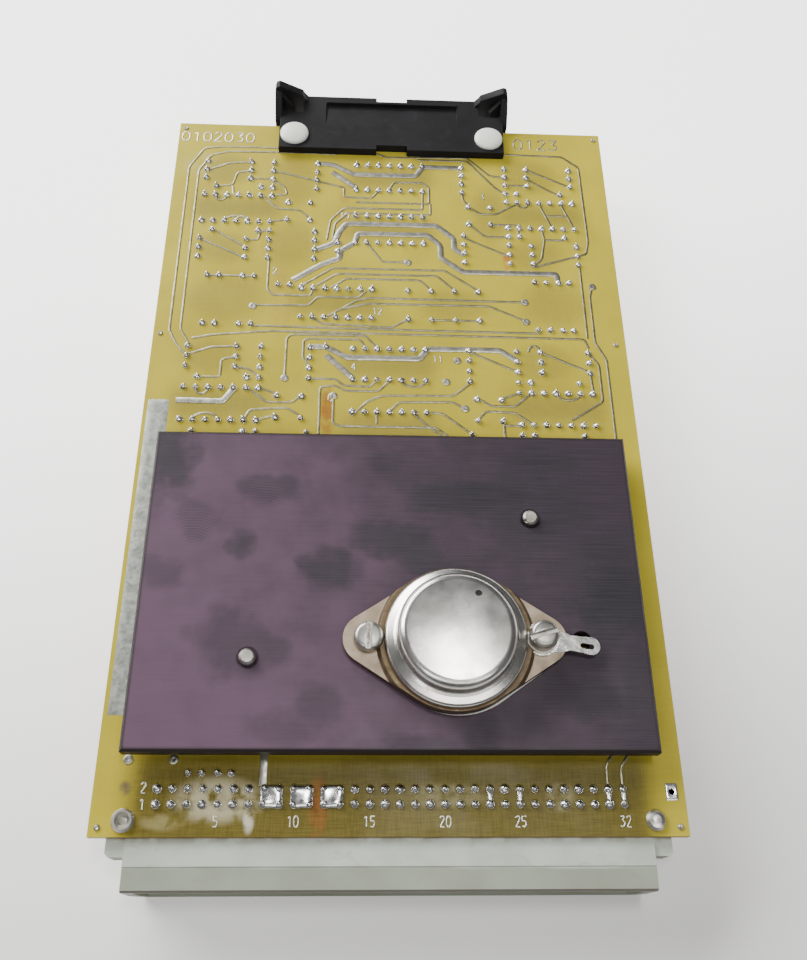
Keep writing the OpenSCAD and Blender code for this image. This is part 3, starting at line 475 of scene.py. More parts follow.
def plug_plastic():
    """Pale grey plastic: lighter by the board and darker and greener in front of a wavy line, as painted
    light and shade, with dirt, painted shade under the board's edge and front faces painted dark as
    shade.
    """
    p = Paint("plug_plastic", IOR=1.5)
    x, y, _ = p.axes()
    # Painted light and shade: the strip by the board is painted lighter, and the strip in front of a
    # wavy line darker and greener.
    wavy = p.math("ADD", y, p.math("MULTIPLY", p.noise(16 * MM, 3), 1.3 * MM))
    line = board_low.y - 3.9 * MM
    near = p.span(wavy, line + 0.3 * MM, line - 0.3 * MM)
    light = p.mix(p.span(p.noise(9 * MM, 4), 0.3, 0.7), (0.50, 0.56, 0.49), (0.41, 0.45, 0.385))
    greener = p.span(p.noise(12 * MM, 4, shift=4), 0.3, 0.7)
    shade = p.mix(greener, (0.30, 0.335, 0.26), (0.25, 0.275, 0.21))
    colour = p.mix(near, light, shade)
    dirt = p.span(p.noise(3.0 * MM, 6, (1.6, 1, 1), 5, 1.5), 0.56, 0.76)
    colour = p.mix(p.math("MULTIPLY", dirt, 0.35), colour, (0.27, 0.24, 0.14))
    # Painted shade: a mottled dark band on the first 1.2 mm in front of the board's edge, under that
    # edge.
    mottle = p.span(p.noise(4 * MM, 4, shift=8), 0.45, 0.6)
    edge = p.math("MULTIPLY", p.span(y, board_low.y - 1.2 * MM, board_low.y), mottle)
    colour = p.mix(p.math("MULTIPLY", edge, 0.6), colour, (0.20, 0.17, 0.09))
    # Painted shade: faces that look towards the viewer are painted dark.
    normal = p.tree.nodes.new("ShaderNodeNewGeometry").outputs["Normal"]
    shaded_front = p.span(p.node("SeparateXYZ", {0: normal}).outputs[1], -0.4, -0.8)
    colour = p.mix(p.math("MULTIPLY", shaded_front, 0.85), colour, (0.095, 0.075, 0.065))
    value = p.span(p.noise(5 * MM, 4, shift=3), 0.3, 0.7, 0.36, 0.5)
    return p.finish(colour, value, p.bump(p.noise(0.4 * MM, 3), 0.08, 0.05 * MM))


def moulded(name, colour_a, colour_b, rough, grain=0.12, grain_size=0.35, dirt=None, **sockets):
    """Moulded plastic: slight mottling, fine grain, and dirt of a given tint and strength."""
    p = Paint(name, IOR=1.5, **sockets)
    colour = p.mix(p.span(p.noise(8 * MM, 4), 0.3, 0.7), colour_a, colour_b)
    if dirt:
        tint, strength = dirt
        share = p.span(p.noise(3.5 * MM, 6, (1, 1, 1), 5, 1.5), 0.54, 0.74)
        colour = p.mix(p.math("MULTIPLY", share, strength), colour, tint)
    value = p.span(p.noise(5 * MM, 4, shift=3), 0.3, 0.7, rough - 0.06, rough + 0.06)
    return p.finish(colour, value, p.bump(p.noise(grain_size * MM, 3), grain, 0.05 * MM))


TRACK = tinned("tinned_track", (0.34, 0.335, 0.28), (0.46, 0.45, 0.39), 0.34, 0.48, 0.06)
THIN_TRACK = tinned("thin_track", (0.25, 0.235, 0.14), (0.36, 0.34, 0.23), 0.36, 0.50, 0.06)
STRIP = tinned("tinned_strip", (0.25, 0.265, 0.235), (0.36, 0.375, 0.335), 0.40, 0.55, 0.04)
SOLDER = tinned("solder", (0.66, 0.66, 0.65), (0.84, 0.84, 0.83), 0.16, 0.28, 0.06)
DIGIT = tinned("digit_tin", (0.50, 0.49, 0.42), (0.66, 0.65, 0.58), 0.30, 0.42, 0.06)
WIRE = tinned("wire", (0.55, 0.54, 0.52), (0.74, 0.73, 0.71), 0.22, 0.36, 0.10)
STEEL = plated("plated_steel", (0.62, 0.60, 0.56), (0.46, 0.44, 0.39), grime=0.5)
BLACK_PLASTIC = moulded("ic_plastic", (0.028, 0.028, 0.031), (0.040, 0.040, 0.043), 0.48)
NYLON = moulded("nylon", (0.88, 0.90, 0.82), (0.82, 0.84, 0.75), 0.36, 0.05, Subsurface_Weight=0.15,
                Subsurface_Scale=0.002)
# Painted shade for the inside of an open hole.
HOLE_SHADE = moulded("hole_shade", (0.02, 0.018, 0.012), (0.035, 0.03, 0.02), 0.6)

NODE_LOOKS = {
    "circuit_board": laminate(),
    "plug_housing": plug_plastic(),
    "plug_rivet_left": STEEL, "plug_rivet_right": STEEL,
    "card_handle": moulded("handle_plastic", (0.012, 0.0115, 0.0125), (0.017, 0.0165, 0.018), 0.60, 0.20,
                           0.5, ((0.026, 0.026, 0.028), 0.4), Specular_IOR_Level=0.10),
    "handle_rivet_left": NYLON, "handle_rivet_right": NYLON,
    "heatsink_plate": anodised_plate(),
    "insulating_washer": moulded("insulator", (0.82, 0.82, 0.78), (0.74, 0.74, 0.69), 0.5),
    "regulator_base": flange_metal(),
    "regulator_can": can_metal(),
    "regulator_die": moulded("silicon", (0.16, 0.17, 0.20), (0.20, 0.21, 0.24), 0.2),
    "regulator_pin_seals": moulded("seal_glass", (0.12, 0.22, 0.18), (0.16, 0.28, 0.22), 0.12),
    "regulator_bushes": NYLON,
    "resistors": moulded("resistor_coat", (0.52, 0.36, 0.19), (0.46, 0.31, 0.15), 0.32),
    "diodes": moulded("diode_body", (0.03, 0.03, 0.033), (0.045, 0.045, 0.048), 0.3),
    "disc_capacitors": moulded("disc_coat", (0.52, 0.24, 0.06), (0.44, 0.19, 0.045), 0.34, 0.15),
    "film_capacitors": moulded("film_case", (0.045, 0.09, 0.26), (0.035, 0.07, 0.21), 0.3),
    "bead_capacitors": moulded("bead_coat", (0.66, 0.36, 0.05), (0.58, 0.30, 0.04), 0.22, 0.10),
    "plug_contacts_row_a": plated("contact_gold", (0.80, 0.62, 0.28), (0.70, 0.53, 0.22), (0.2, 0.3),
                                  0.1),
}
NODE_LOOKS["plug_contacts_row_b"] = NODE_LOOKS["plug_contacts_row_a"]
NODE_LOOKS["solder_lug"] = plated(
    "lug_plating", (0.84, 0.83, 0.80), (0.72, 0.70, 0.66), (0.24, 0.36), 0.15, 2.5)
screw_low, screw_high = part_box("regulator_screw_left")
screw_middle = (screw_low + screw_high) / 2
half_slot = Vector((0.35, 2.1, 0)) * MM
NODE_LOOKS["regulator_screw_left"] = plated(
    "worn_head", (0.46, 0.45, 0.42), (0.33, 0.32, 0.29), (0.28, 0.4), 0.35,
    slot=(screw_middle - half_slot, screw_middle + half_slot))
NODE_LOOKS["regulator_screw_right"] = plated("slotted_head", (0.46, 0.45, 0.42), (0.34, 0.33, 0.30))
for name in nodes:
    if name.endswith(("_leads", "_pins")):
        NODE_LOOKS[name] = WIRE
    elif "_ic_" in name:
        NODE_LOOKS[name] = BLACK_PLASTIC

# Broken edges, in millimetres, on CAD parts that have them
EDGES = {
    "plug_housing": 0.18, "card_handle": 0.30, "circuit_board": 0.06, "regulator_base": 0.18,
    "solder_lug": 0.12, "film_capacitors": 0.25, "regulator_screw_left": 0.12,
    "regulator_screw_right": 0.12, "plate_screws": 0.10,
}

for name, part in nodes.items():
    part.data.materials.clear()
    part.data.materials.append(NODE_LOOKS.get(name, STEEL))
    if name in EDGES:
        weld = part.modifiers.new("weld", "WELD")
        weld.merge_threshold = 0.001 * MM
        bevel = part.modifiers.new("edges", "BEVEL")
        bevel.width = EDGES[name] * MM
        bevel.segments = 3
        bevel.limit_method = "ANGLE"
        bevel.angle_limit = math.radians(38)
        bevel.harden_normals = True


# ---------------------------------------------------------------- tinned tracks


def rounded(points, reach=0.28):
    """Rounds the corners of a route in grid steps, and adds points along its straights."""
    route = [Vector(points[0])]
    for before, corner, after in zip(points, points[1:], points[2:]):
        before, corner, after = Vector(before), Vector(corner), Vector(after)
        cut = min(reach, (corner - before).length * 0.45, (after - corner).length * 0.45)
        start = corner + (before - corner).normalized() * cut
        end = corner + (after - corner).normalized() * cut
        for k in range(5):
            t = k / 4
            route.append(start * (1 - t) ** 2 + corner * 2 * t * (1 - t) + end * t * t)
    route.append(Vector(points[-1]))
    dense = [route[0]]
    for a, b in zip(route, route[1:]):
        count = max(1, math.ceil((b - a).length / 0.35))
        dense.extend(a.lerp(b, k / count) for k in range(1, count + 1))
    return dense


# Half of a track's width and height at each point across it
TRACK_SECTION = ((-1, -0.1), (-0.95, 0.6), (-0.7, 0.97), (0, 1), (0.7, 0.97), (0.95, 0.6), (1, -0.1))


def sweep_track(mesh, points, width, height=0.10 * MM, material=0):
    """A track with a domed, slightly uneven section along a route of board points."""
    route = [at_grid(p[0], p[1]) for p in points]
    rows = []
    for i, here in enumerate(route):
        along = (route[min(i + 1, len(route) - 1)] - route[max(i - 1, 0)]).normalized()
        side = Vector((-along.y, along.x, 0))
        wobble = noise.noise(here * 500)
        half = width / 2 * (1 + 0.10 * wobble)
        crown = height * (1 + 0.15 * noise.noise(here * 900 + Vector((5, 0, 0))))
        rows.append([
            mesh.verts.new(here + side * half * s + Vector((0, 0, crown * h)))
            for s, h in TRACK_SECTION
        ])
    for low, high in zip(rows, rows[1:]):
        for k in range(len(low)):
            mesh.faces.new((low[k - 1], low[k], high[k], high[k - 1])).material_index = material
    mesh.faces.new(rows[0])
    mesh.faces.new(rows[-1])


def loop_between(gx, gy, count, down=True):
    """A small arc that links two pins of a row, count steps apart."""
    depth = -0.62 if down else 0.62
    return [
        (gx + count * (1 - math.cos(a)) / 2, gy + depth * math.sin(a))
        for a in (math.pi * k / 8 for k in range(9))
    ]


WIDE_TRACK = 1.3 * MM
WIDE_CROWN = 0.15 * MM
NARROW_TRACK = 0.52 * MM

# Wide tracks, in grid steps
WIDE = [
    [(-6.6, 58.4), (-5.3, 58.3), (-3.4, 57.2), (2.2, 57.2), (2.9, 58.35), (6.4, 58.35)],
    [(-5.4, 57.4), (-3.2, 55.6)],
    [(-6.5, 48.4), (-5, 49.2), (-4.6, 50.5), (-4, 51.4), (4, 51.4), (5.5, 50), (5.5, 48.8), (6.4, 48.2)],
    [(-8.5, 45), (-6, 46.8), (-4.5, 47.5), (-4.5, 48.3), (-3.2, 49.3), (-3, 50.3), (3.2, 50.3),
     (4.3, 49.2), (4.3, 47.8), (6.2, 46.3), (14.4, 46.3), (14.4, 45.4)],
    [(-6.6, 38.2), (-5.4, 38.2), (-3.7, 37.2), (2.3, 37.2), (3, 38.2), (9, 38.2), (10.5, 37.1)],
    [(-5.4, 37.4), (-3.2, 35.2)],
    [(-8.6, 7.2), (-8.6, 3.2)],
    [(-17.2, 32.85), (-13.5, 32.8), (-12.7, 34.0)],
]

# Narrow tracks, in grid steps
NARROW = [
    [(-16.75, 37.1), (-17.7, 38.2), (-18.4, 39.6), (-18.4, 57.6), (-17.2, 59.9), (-15.5, 60.2),
     (-3, 60.2), (-1.6, 59.9), (-0.4, 59.4)],
    [(-16.75, 38.4), (-17.5, 39.7), (-17.5, 57.2), (-16.5, 59.1), (-14.9, 59.6), (-8.3, 59.7),
     (-5, 59.6)],
    [(10.6, 60.2), (15.9, 60.1), (17.4, 58.8), (17.5, 50), (17.2, 48.6), (12.4, 47)],
    [(-0.5, 59.4), (7, 59.6), (9, 57.5), (10.4, 57.3)],
    [(2.4, 59.2), (7, 59.2), (9.5, 56), (10.4, 55.3)],
    [(-10.7, 57.4), (-6.8, 56.3), (-4.3, 55.6), (-4.3, 54.5), (-1.8, 54.4), (-1.2, 55.3)],
    [(-16.75, 57.2), (-14.8, 58.2), (-12.75, 58.35)],
    [(-12.75, 57.3), (-14, 57.1), (-14.3, 55.6), (-15.7, 55.35)],
    [(-12.7, 56.4), (-11, 56.4), (-9.6, 55.4), (-9.4, 54.6), (-10.6, 54.4)],
    [(-11.7, 54.4), (-10.2, 52.9), (-8.2, 52.8), (-7.3, 51.9)],
    [(-14.3, 55.4), (-14.2, 54.5), (-13.8, 54.35)],
    [(-15.7, 50.4), (-12.9, 48.6)],
    [(-16.7, 49.3), (-12.9, 47.4)],
    [(-12.7, 49.3), (-11.7, 49.3), (-11.5, 50.35), (-10.75, 50.35)],
    [(-10.75, 51.4), (-9.3, 51.7)],
    [(12.4, 58.4), (16.3, 56.4)],
    [(12.4, 57.2), (15.3, 55.3)],
    [(10.4, 56.4), (12.4, 56.4)],
    [(13.4, 54.2), (14.4, 51.4)],
    [(15.4, 54.2), (16.4, 51.4)],
    [(14, 52.9), (15.8, 52.9)],
    [(9.0, 51.7), (11.2, 51.7), (11.4, 50.2)],
    [(13.4, 51.4), (13.6, 50.1), (15.3, 50.1)],
    [(13.6, 50.1), (13.2, 47.9), (12.5, 47.2)],
    [(7, 51.6), (8.3, 50.3), (10.4, 50.3)],
    [(7, 53.6), (8, 52.9), (9.4, 52.9), (10.4, 53.6), (11.4, 54.2)],
    [(6.4, 50.1), (10.4, 48.1)],
    [(6.4, 55.3), (6.5, 54.4), (7, 53.8)],
    [(-2.2, 49.3), (-0.8, 47.2), (1.4, 47.2)],
    [(-3.2, 53.9), (3.4, 53.9), (3.4, 55.9), (2.8, 56.4), (0.2, 56.4), (-0.2, 55.5)],
    [(2.8, 55.3), (2.8, 53.2), (-4.2, 53.2), (-5.4, 51.8), (-5.7, 49.5)],
    [(3.5, 53.9), (3.5, 52.6), (-3.9, 52.6), (-5, 51.4), (-5.2, 49.6)],
    [(-11.5, 40.2), (-4, 40.1), (12.5, 40)],
    [(-16.5, 38.8), (-14.8, 39.2), (-10, 39.7), (2, 39.6), (16.2, 39.5), (16.5, 38.6)],
    [(-11.7, 42.3), (-7, 42.4), (-6.3, 43.3), (-2.8, 43.3), (-2.2, 44)],
    [(-5.4, 41.3), (-3, 43), (-1.8, 43.3), (11.4, 43.2)],
    [(-4.5, 42), (-2, 42.7), (8.3, 42.7), (11.4, 41.2)],
    [(-6.7, 41.2), (-5.8, 40.5), (0, 40.3), (1.4, 41.2)],
    [(-10.6, 47.4), (-10.6, 44), (-10.1, 43.4), (-6.9, 43.4), (-6.7, 44.1)],
    [(-5.2, 44.3), (-3.9, 45.3), (2.4, 45.3), (3.4, 44.3)],
    [(-6.4, 44.5), (-4.7, 45.8), (3.9, 45.8), (5.4, 44.3)],
    [(-7.6, 44.5), (-5.1, 46.4), (4.6, 46.4), (7.45, 44.3)],
    [(-15.7, 45.35), (-12.0, 45.35)],
    [(-8.7, 35.1), (-8.7, 39), (-8.3, 39.4), (-2.2, 39.4), (-1.3, 38.3)],
    [(-6.6, 36.1), (-7.3, 37.1), (-7.3, 38.8), (-6.9, 39), (-2.6, 39), (-2.2, 38.2)],
    [(-6.6, 35.1), (-4.6, 35.1), (-3.9, 34.5), (-1.8, 34.4), (-1.2, 35)],
    [(-5.8, 30), (-5.8, 34.3), (-4.6, 34.5), (-3.8, 34), (-1.1, 34), (-0.2, 35)],
    [(-4.7, 33.5), (-4.7, 31), (-4.2, 30.7), (3.5, 30.7), (4.4, 30.0)],
    [(2.9, 32.1), (4.1, 32), (6.3, 30.2)],
    [(-1.2, 31.9), (-1.2, 31)],
    [(-3.2, 31.7), (-2, 33), (-0.8, 33.6), (5, 33.7), (6.3, 34.8)],
    [(-0.2, 32.1), (0.6, 33), (4.9, 33.1), (5.9, 32.5)],
    [(1.8, 31.9), (2.8, 30.9), (4.2, 29.7)],
    [(12.4, 38.1), (16.4, 36.2), (16.5, 34.3)],
    [(10.4, 36.1), (6.4, 38.0)],
    [(17.4, 45), (17.1, 44), (17.1, 39.2), (17.9, 37.5), (17.9, 29.5)],
    [(16.5, 47), (16.5, 39.6)],
    [(16.5, 38), (17.2, 37), (17.2, 33.4), (14.5, 31.6)],
    [(-16.75, 37.2), (-14.8, 38), (-12.75, 38.1)],
    [(-12.75, 37.1), (-13.9, 36.8), (-13.9, 35.1), (-15.7, 35.1)],
    [(-12.7, 36.1), (-11.6, 35.9), (-10.7, 35.1)],
    [(-10.75, 34.2), (-9.3, 33.6)],
    [(-11.7, 34.2), (-10, 32.8), (-8, 32.8), (-7.3, 33.5)],
    [(-11.7, 31.2), (-11.3, 32.1), (-8.4, 32.3), (-7.3, 31.6)],
    [(-10.75, 31.1), (-9.3, 31.6)],
    [(7, 33.5), (8, 32.8), (10, 32.8), (11.4, 34.1)],
    [(7, 31.6), (7.6, 32.3), (9.9, 32.2), (11.4, 31.1)],
    [(9, 31.6), (9, 29.6)], [(9, 31), (10.4, 31)],
    [(9, 33.5), (10.4, 34.1)],
    [(3.4, 41.15), (7.45, 41.15)],
    [(14.5, 3.0), (14.5, 4.5), (15.4, 6.0)],
    [(15.5, 3.0), (15.5, 4.4), (16.6, 6.0)],
]
for gx, gy, count, down in (
    (-15.75, 54.35, 1, True), (-13.75, 51.35, 1, False), (-14.75, 51.35, 2, False),
    (11.4, 54.35, 1, True), (-15.75, 34.1, 1, True), (13.4, 34.1, 2, True),
    (0.8, 35.1, 2, True), (-15.75, 31.1, 2, False),
    (11.4, 38.1, 1, False),
):
    NARROW.append(loop_between(gx, gy, count, down))

VIAS = (
    (-11.7, 42.2), (-8.7, 35.1), (-4.7, 33.5), (11.4, 43.2), (11.4, 41.15), (17.4, 45.0), (1.4, 47.2),
    (4.45, 35.0), (5.4, 37.1), (5.9, 32.5), (-17.6, 4.9), (-14.6, 4.9),
)

# Small part numbers beside the parts, in grid steps
PART_NUMBERS = (
    ("5", 6.1, 57.6), ("10", -4.6, 52.0), ("2", -10.2, 45.6), ("3", 8.1, 54.6), ("4", -3.3, 36.0),
    ("11", 3.4, 36.9), ("0", -5.1, 33.0), ("12", -1.6, 41.6),
)

# Digits as strokes in a box one wide and 1.6 high
DIGITS = {
    "0": [(0, 0.4), (0, 1.2), (0.3, 1.6), (0.7, 1.6), (1, 1.2), (1, 0.4), (0.7, 0), (0.3, 0), (0, 0.4)],
    "1": [(0.2, 1.3), (0.6, 1.6), (0.6, 0)],
    "2": [(0, 1.3), (0.3, 1.6), (0.8, 1.6), (1, 1.2), (0, 0), (1, 0)],
    "3": [(0, 1.6), (1, 1.6), (0.5, 1), (1, 0.6), (0.8, 0.1), (0.3, 0), (0, 0.2)],
    "4": [(0.8, 0), (0.8, 1.6), (0, 0.5), (1.05, 0.5)],
    "5": [(1, 1.6), (0.1, 1.6), (0, 0.9), (0.7, 0.95), (1, 0.5), (0.7, 0), (0, 0.1)],
}


def digits(mesh, text, gx, gy, size, width=0.28, tall=1.0):
    """Writes plain numbers in track metal, from their lower left corner; size is in grid steps."""
    for i, figure in enumerate(text):
        strokes = [(gx + (i * 1.45 + x) * size, gy + y * size * tall) for x, y in DIGITS[figure]]
        sweep_track(mesh, rounded(strokes, 0.08), width * MM, 0.07 * MM, material=2)


def tracks():
    mesh = bmesh.new()
    for route in WIDE:
        sweep_track(mesh, rounded(route), WIDE_TRACK, WIDE_CROWN)
    for route in NARROW:
        sweep_track(mesh, rounded(route), NARROW_TRACK, material=1)
    for contact in (5, 10, 15, 20, 25, 32):
        label = str(contact)
        digits(mesh, label, contact - 16.5 - (0.38 if contact > 9 else 0.2), 0.62, 0.29, 0.26, 1.45)
    digits(mesh, "2", -16.55, 2.75, 0.32, 0.26, 1.3)
    digits(mesh, "1", -16.55, 1.7, 0.32, 0.26, 1.3)
    digits(mesh, "0102030", -19.35, 60.8, 0.68, 0.34)
    digits(mesh, "0123", 11.5, 60.9, 0.76, 0.34)
    for label, gx, gy in PART_NUMBERS:
        digits(mesh, label, gx, gy, 0.32, 0.24, 1.3)
    return piece("tinned_tracks", mesh, [TRACK, THIN_TRACK, DIGIT])


def bus_strip():
    """The wide tinned strip along the left edge, with solder ripples across it."""
    mesh = bmesh.new()
    low, high = at_mm(-49.2, 19.9), at_mm(-45.0, 83.5)
    across, along = 6, 90
    rows = []
    for j in range(along + 1):
        row = []
        for i in range(across + 1):
            u, v = i / across, j / along
            spot = Vector((low.x + (high.x - low.x) * u, low.y + (high.y - low.y) * v, low.z))
            edge = min(u, 1 - u, 0.12) / 0.12 * min(v, 1 - v, 0.01) / 0.01
            swell = 0.10 + 0.03 * noise.noise(Vector((spot.x * 200, spot.y * 110, 2)))
            row.append(mesh.verts.new(spot + Vector((0, 0, (swell * edge + 0.01) * MM))))
        rows.append(row)
    for low_row, high_row in zip(rows, rows[1:]):
        for k in range(across):
            mesh.faces.new((low_row[k], low_row[k + 1], high_row[k + 1], high_row[k]))
    return piece("bus_strip", mesh, [STRIP])


def filled_pad(mesh, centre, radius, height=0.22 * MM):
    """A pad whose hole is filled, with a slight dimple."""
    lathe(mesh, centre, (
        (radius, 0), (radius * 0.94, height * 0.6), (radius * 0.6, height), (radius * 0.3, height * 0.8),
        (radius * 0.08, height * 0.62),
    ), 22)


def square_pad(mesh, centre, half_x, half_y, bore):
    """A square pad round a hole, whose opening is a disc painted dark as shade."""
    height, segments = 0.14 * MM, 32
    loops = []
    for share, lift in ((1, 0), (1, 0.6), (0.9, 1), (0.45, 0.95), (0, 0.8), (0, 0)):
        loop = []
        for k in range(segments):
            a = 2 * math.pi * (k + 0.5) / segments
            c, n = math.cos(a), math.sin(a)
            stretch = 1 / max(abs(c), abs(n))
            x = bore * c * (1 - share) + half_x * c * stretch * share
            y = bore * n * (1 - share) + half_y * n * stretch * share
            loop.append(mesh.verts.new(centre + Vector((x, y, height * lift))))
        loops.append(loop)
    for low, high in zip(loops, loops[1:]):
        for k in range(segments):
            mesh.faces.new((low[k - 1], low[k], high[k], high[k - 1])).material_index = 2
    # The disc over the hole is painted dark, as the shade inside it.
    mesh.faces.new(loops[-1]).material_index = 1


def pads():
    mesh = bmesh.new()
    for gx, gy in VIAS:
        filled_pad(mesh, at_grid(gx, gy), 0.85 * MM)
    square_pad(mesh, at_mm(47.7, 7.2), 1.05 * MM, 1.4 * MM, 0.5 * MM)
    for x, y in ((-48.5, 1.5), (48.5, 1.5), (-48.5, 158.3), (48.5, 158.3), (-48.5, 99.6), (47.8, 99.0)):
        filled_pad(mesh, at_mm(x, y), 0.55 * MM, 0.3 * MM)
    return piece("pads", mesh, [TRACK, HOLE_SHADE, SOLDER])


# ---------------------------------------------------------------- solder


def solder_joint(mesh, low, high, tip):
    """A concave fillet up a trimmed lead that leans a little."""
    radius = (high.x - low.x) / 2 * random.uniform(0.86, 0.98)
    height = (high.z - low.z) * random.uniform(0.58, 0.74)
    centre = Vector(((low.x + high.x) / 2, (low.y + high.y) / 2, low.z - 0.01 * MM))
    lean = (random.gauss(0, 0.12) * MM, random.gauss(0.05, 0.12) * MM)
    lead = 0.27 * MM
    top = min(high.z - low.z + 0.25 * MM, height + tip * random.uniform(0.7, 1.15))
    lathe(mesh, centre, (
        (radius, 0), (radius * 0.97, 0.10 * MM), (radius * 0.86, height * 0.42),
        (radius * 0.68, height * 0.72), (lead * 1.55, height * 0.92), (lead * 1.15, height),
        (lead, height + 0.05 * MM), (lead * 0.94, top - 0.08 * MM), (lead * 0.55, top),
    ), 16, lean)


def solder_joints(node, name, tip):
    mesh = bmesh.new()
    for low, high in islands(node):
        solder_joint(mesh, low, high, tip)
    return piece(name, mesh, [SOLDER], [node], 80)


def solder_bridge(mesh, low, high, margin, height):
    """A domed pool of solder between neighbouring joints, given its first and last joint."""
    centre = (low + high) / 2
    half_x = (high.x - low.x) / 2 + margin[0]
    half_y = (high.y - low.y) / 2 + margin[1]
    count = 20
    grid = []
    for j in range(count + 1):
        row = []
        for i in range(count + 1):
            u, v = 2 * i / count - 1, 2 * j / count - 1
            out = (abs(u) ** 3.4 + abs(v) ** 3.4) ** (1 / 3.4) or 1e-6
            rim = max(abs(u), abs(v))
            waist = 1 - 0.07 * (1 - min(abs(u), abs(v)) / (rim or 1))
            x = centre.x + u * rim / out * waist * half_x
            y = centre.y + v * rim / out * waist * half_y
            lump = 1 + 0.3 * noise.noise(Vector((x, y, 0)) * 420)
            row.append(mesh.verts.new((x, y, BOARD_TOP + height * lump * (1 - rim ** 4) ** 0.5)))
        grid.append(row)
    for low_row, high_row in zip(grid, grid[1:]):
        for k in range(count):
            mesh.faces.new((low_row[k], low_row[k + 1], high_row[k + 1], high_row[k]))


ROWS = (5.15 * MM, 7.65 * MM)


def contact_at(number, row):
    return Vector(((number - 16.5) * PITCH, board_low.y + ROWS[row], BOARD_TOP))


def solder_bridges():
    mesh = bmesh.new()
    for first in (8, 10, 12):
        solder_bridge(mesh, contact_at(first, 0), contact_at(first + 1, 1),
                      (0.85 * MM, 0.85 * MM), 0.62 * MM)
    for contact in (23, 25, 31, 32):
        solder_bridge(mesh, contact_at(contact, 0), contact_at(contact, 1),
                      (0.55 * MM, -0.1 * MM), 0.45 * MM)
    return piece("solder_bridges", mesh, [SOLDER], smooth=70)


tracks()
bus_strip()
pads()
solder_joints("plug_solder_joints", "plug_joints", 0.25 * MM)
solder_joints("component_solder_joints", "part_joints", 0.45 * MM)
solder_bridges()


# ---------------------------------------------------------------- colour rings

RING_TINTS = {
    "black": (0.015, 0.014, 0.014), "brown": (0.13, 0.05, 0.02), "red": (0.50, 0.03, 0.02),
    "orange": (0.70, 0.20, 0.02), "yellow": (0.72, 0.55, 0.04), "violet": (0.16, 0.06, 0.30),
    "gold": (0.55, 0.40, 0.12),
}


def resistor_rings():
    """Three colour rings and a gold one on each resistor."""
    names = list(RING_TINTS)
    looks = [
        moulded(f"ring_{name}", tint, tuple(0.8 * c for c in tint), 0.32)
        for name, tint in RING_TINTS.items()
    ]
    mesh = bmesh.new()
    codes = (("brown", "black", "red"), ("yellow", "violet", "orange"), ("red", "red", "orange"),
             ("brown", "black", "orange"), ("orange", "orange", "yellow"))
    for i, (low, high) in enumerate(islands("resistors")):
        middle = (low + high) / 2
        radius = (high.z - low.z) / 2
        code = (*codes[(i * 7 + i // 5) % len(codes)], "gold")
        for colour, shift in zip(code, (-2.35, -1.1, 0.0, 2.35)):
            waist = radius if abs(shift) > 2 else radius - 0.16 * MM
            spot = middle + Vector((shift * MM, 0, 0))
            band(mesh, spot, waist, 0.62 * MM, 0, names.index(colour))
    return piece("resistor_rings", mesh, looks)


def diode_rings():
    mesh = bmesh.new()
    for low, high in islands("diodes"):
        middle = (low + high) / 2
        spot = Vector((middle.x, high.y - 1.0 * MM, middle.z))
        band(mesh, spot, (high.z - low.z) / 2, 0.7 * MM, 1)
    return piece("diode_rings", mesh, [moulded("ring_pale", (0.62, 0.62, 0.60), (0.5, 0.5, 0.48), 0.35)])


resistor_rings()
diode_rings()


# ---------------------------------------------------------------- stage, light and camera


# The floor glows a little on its far side, from FADE_FROM to FADE_TO, and not at all near the viewer
FLOOR_GLOW = 2.0
FADE_FROM, FADE_TO = -0.12, 0.08


def stage():
    mesh = bmesh.new()
    bmesh.ops.create_grid(mesh, x_segments=2, y_segments=2, size=3)
    data = bpy.data.meshes.new("floor")
    mesh.to_mesh(data)
    mesh.free()
    floor = bpy.data.objects.new("floor", data)
    floor.location.z = cad_low.z - 0.0002
    bpy.context.scene.collection.objects.link(floor)
    p = Paint("floor", Roughness=0.75, Emission_Color=(1, 1, 1))
    x, y, _ = p.axes()
    far = p.math("SUBTRACT", y, p.math("MULTIPLY", x, 0.25))
    glow = p.span(far, FADE_FROM, FADE_TO, 0.0, FLOOR_GLOW)
    p.put(p.shader.inputs["Emission Strength"], glow)
    data.materials.append(p.finish(p.mix(p.noise(0.4, 2), (0.86, 0.86, 0.85), (0.83, 0.83, 0.82))))


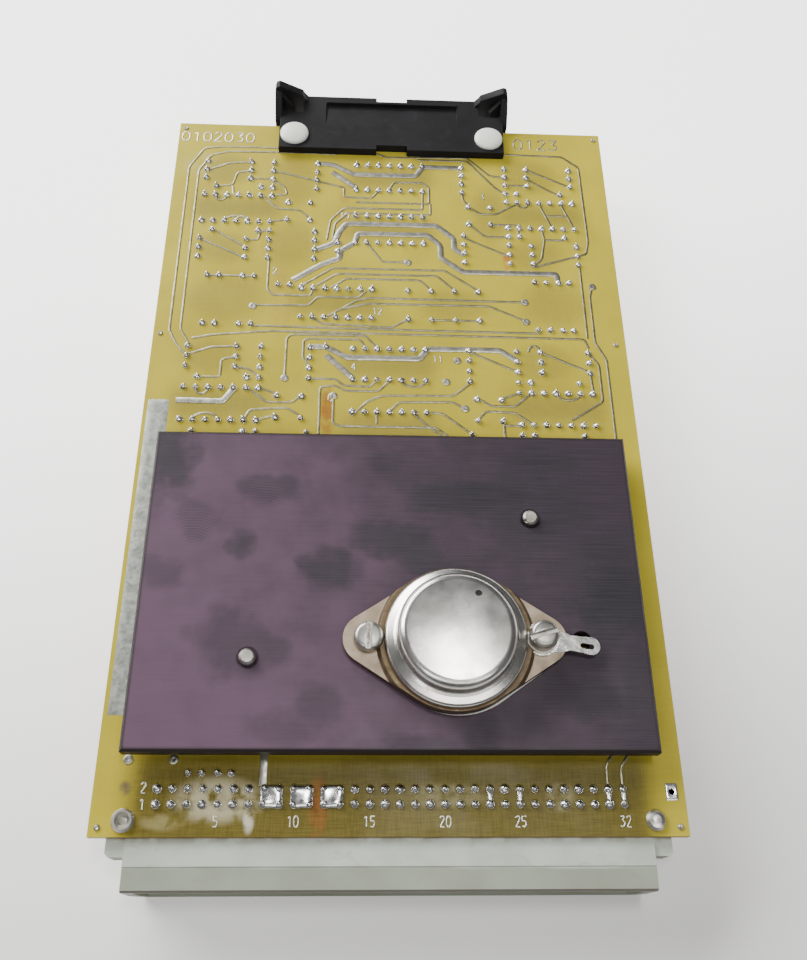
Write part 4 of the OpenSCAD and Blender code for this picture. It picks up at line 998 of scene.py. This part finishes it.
def area_light(name, place, target, size, watts, tint=(1, 1, 1)):
    data = bpy.data.lights.new(name, "AREA")
    data.shape = "RECTANGLE"
    data.size, data.size_y = size
    data.energy = watts
    data.color = tint
    lamp = bpy.data.objects.new(name, data)
    lamp.location = place
    lamp.rotation_euler = (Vector(target) - Vector(place)).to_track_quat("-Z", "Y").to_euler()
    bpy.context.scene.collection.objects.link(lamp)


def lights():
    """A low window at the far left, a small light overhead, and a room and a lamp behind the viewer."""
    area_light("window", (-0.60, 0.64, 0.48), (0, 0.05, 0), (1.0, 0.4), 22.0, (1.0, 0.99, 0.98))
    area_light("ceiling", (0.09, 0.06, 0.80), (0, 0, 0), (0.20, 0.12), 2.0, (1.0, 0.99, 0.97))
    area_light("room", (0.02, -0.48, 0.66), (0, 0, 0), (1.10, 0.46), 1.8, (1.0, 0.98, 0.95))
    area_light("tube", (0.02, -0.40, 0.60), (0, 0, 0), (0.90, 0.08), 1.3, (1.0, 0.98, 0.95))
    world = bpy.data.worlds.new("studio")
    world.use_nodes = True
    sky = world.node_tree.nodes["Background"]
    sky.inputs["Color"].default_value = (0.96, 0.97, 1.0, 1)
    sky.inputs["Strength"].default_value = 0.14
    bpy.context.scene.world = world


# The view: azimuth to the right of the card's length, height over the horizon, and roll
AZIMUTH = 5.62
ELEVATION = 63.22
ROLL = 5.86
EYE = (-6.118, -98.798, 181.286)
LENS = 36.26


def camera():
    data = bpy.data.cameras.new("camera")
    data.lens = LENS
    data.sensor_width = 36
    data.clip_start, data.clip_end = 0.005, 20
    view = bpy.data.objects.new("camera", data)
    a, e = math.radians(AZIMUTH), math.radians(ELEVATION)
    look = Vector((math.sin(a) * math.cos(e), math.cos(a) * math.cos(e), -math.sin(e)))
    level = look.to_track_quat("-Z", "Y").to_matrix()
    view.matrix_world = (
        Matrix.Translation(Vector(EYE) * MM)
        @ (level @ Matrix.Rotation(math.radians(ROLL), 3, "Z")).to_4x4()
    )
    bpy.context.scene.collection.objects.link(view)
    bpy.context.scene.camera = view


stage()
lights()
camera()
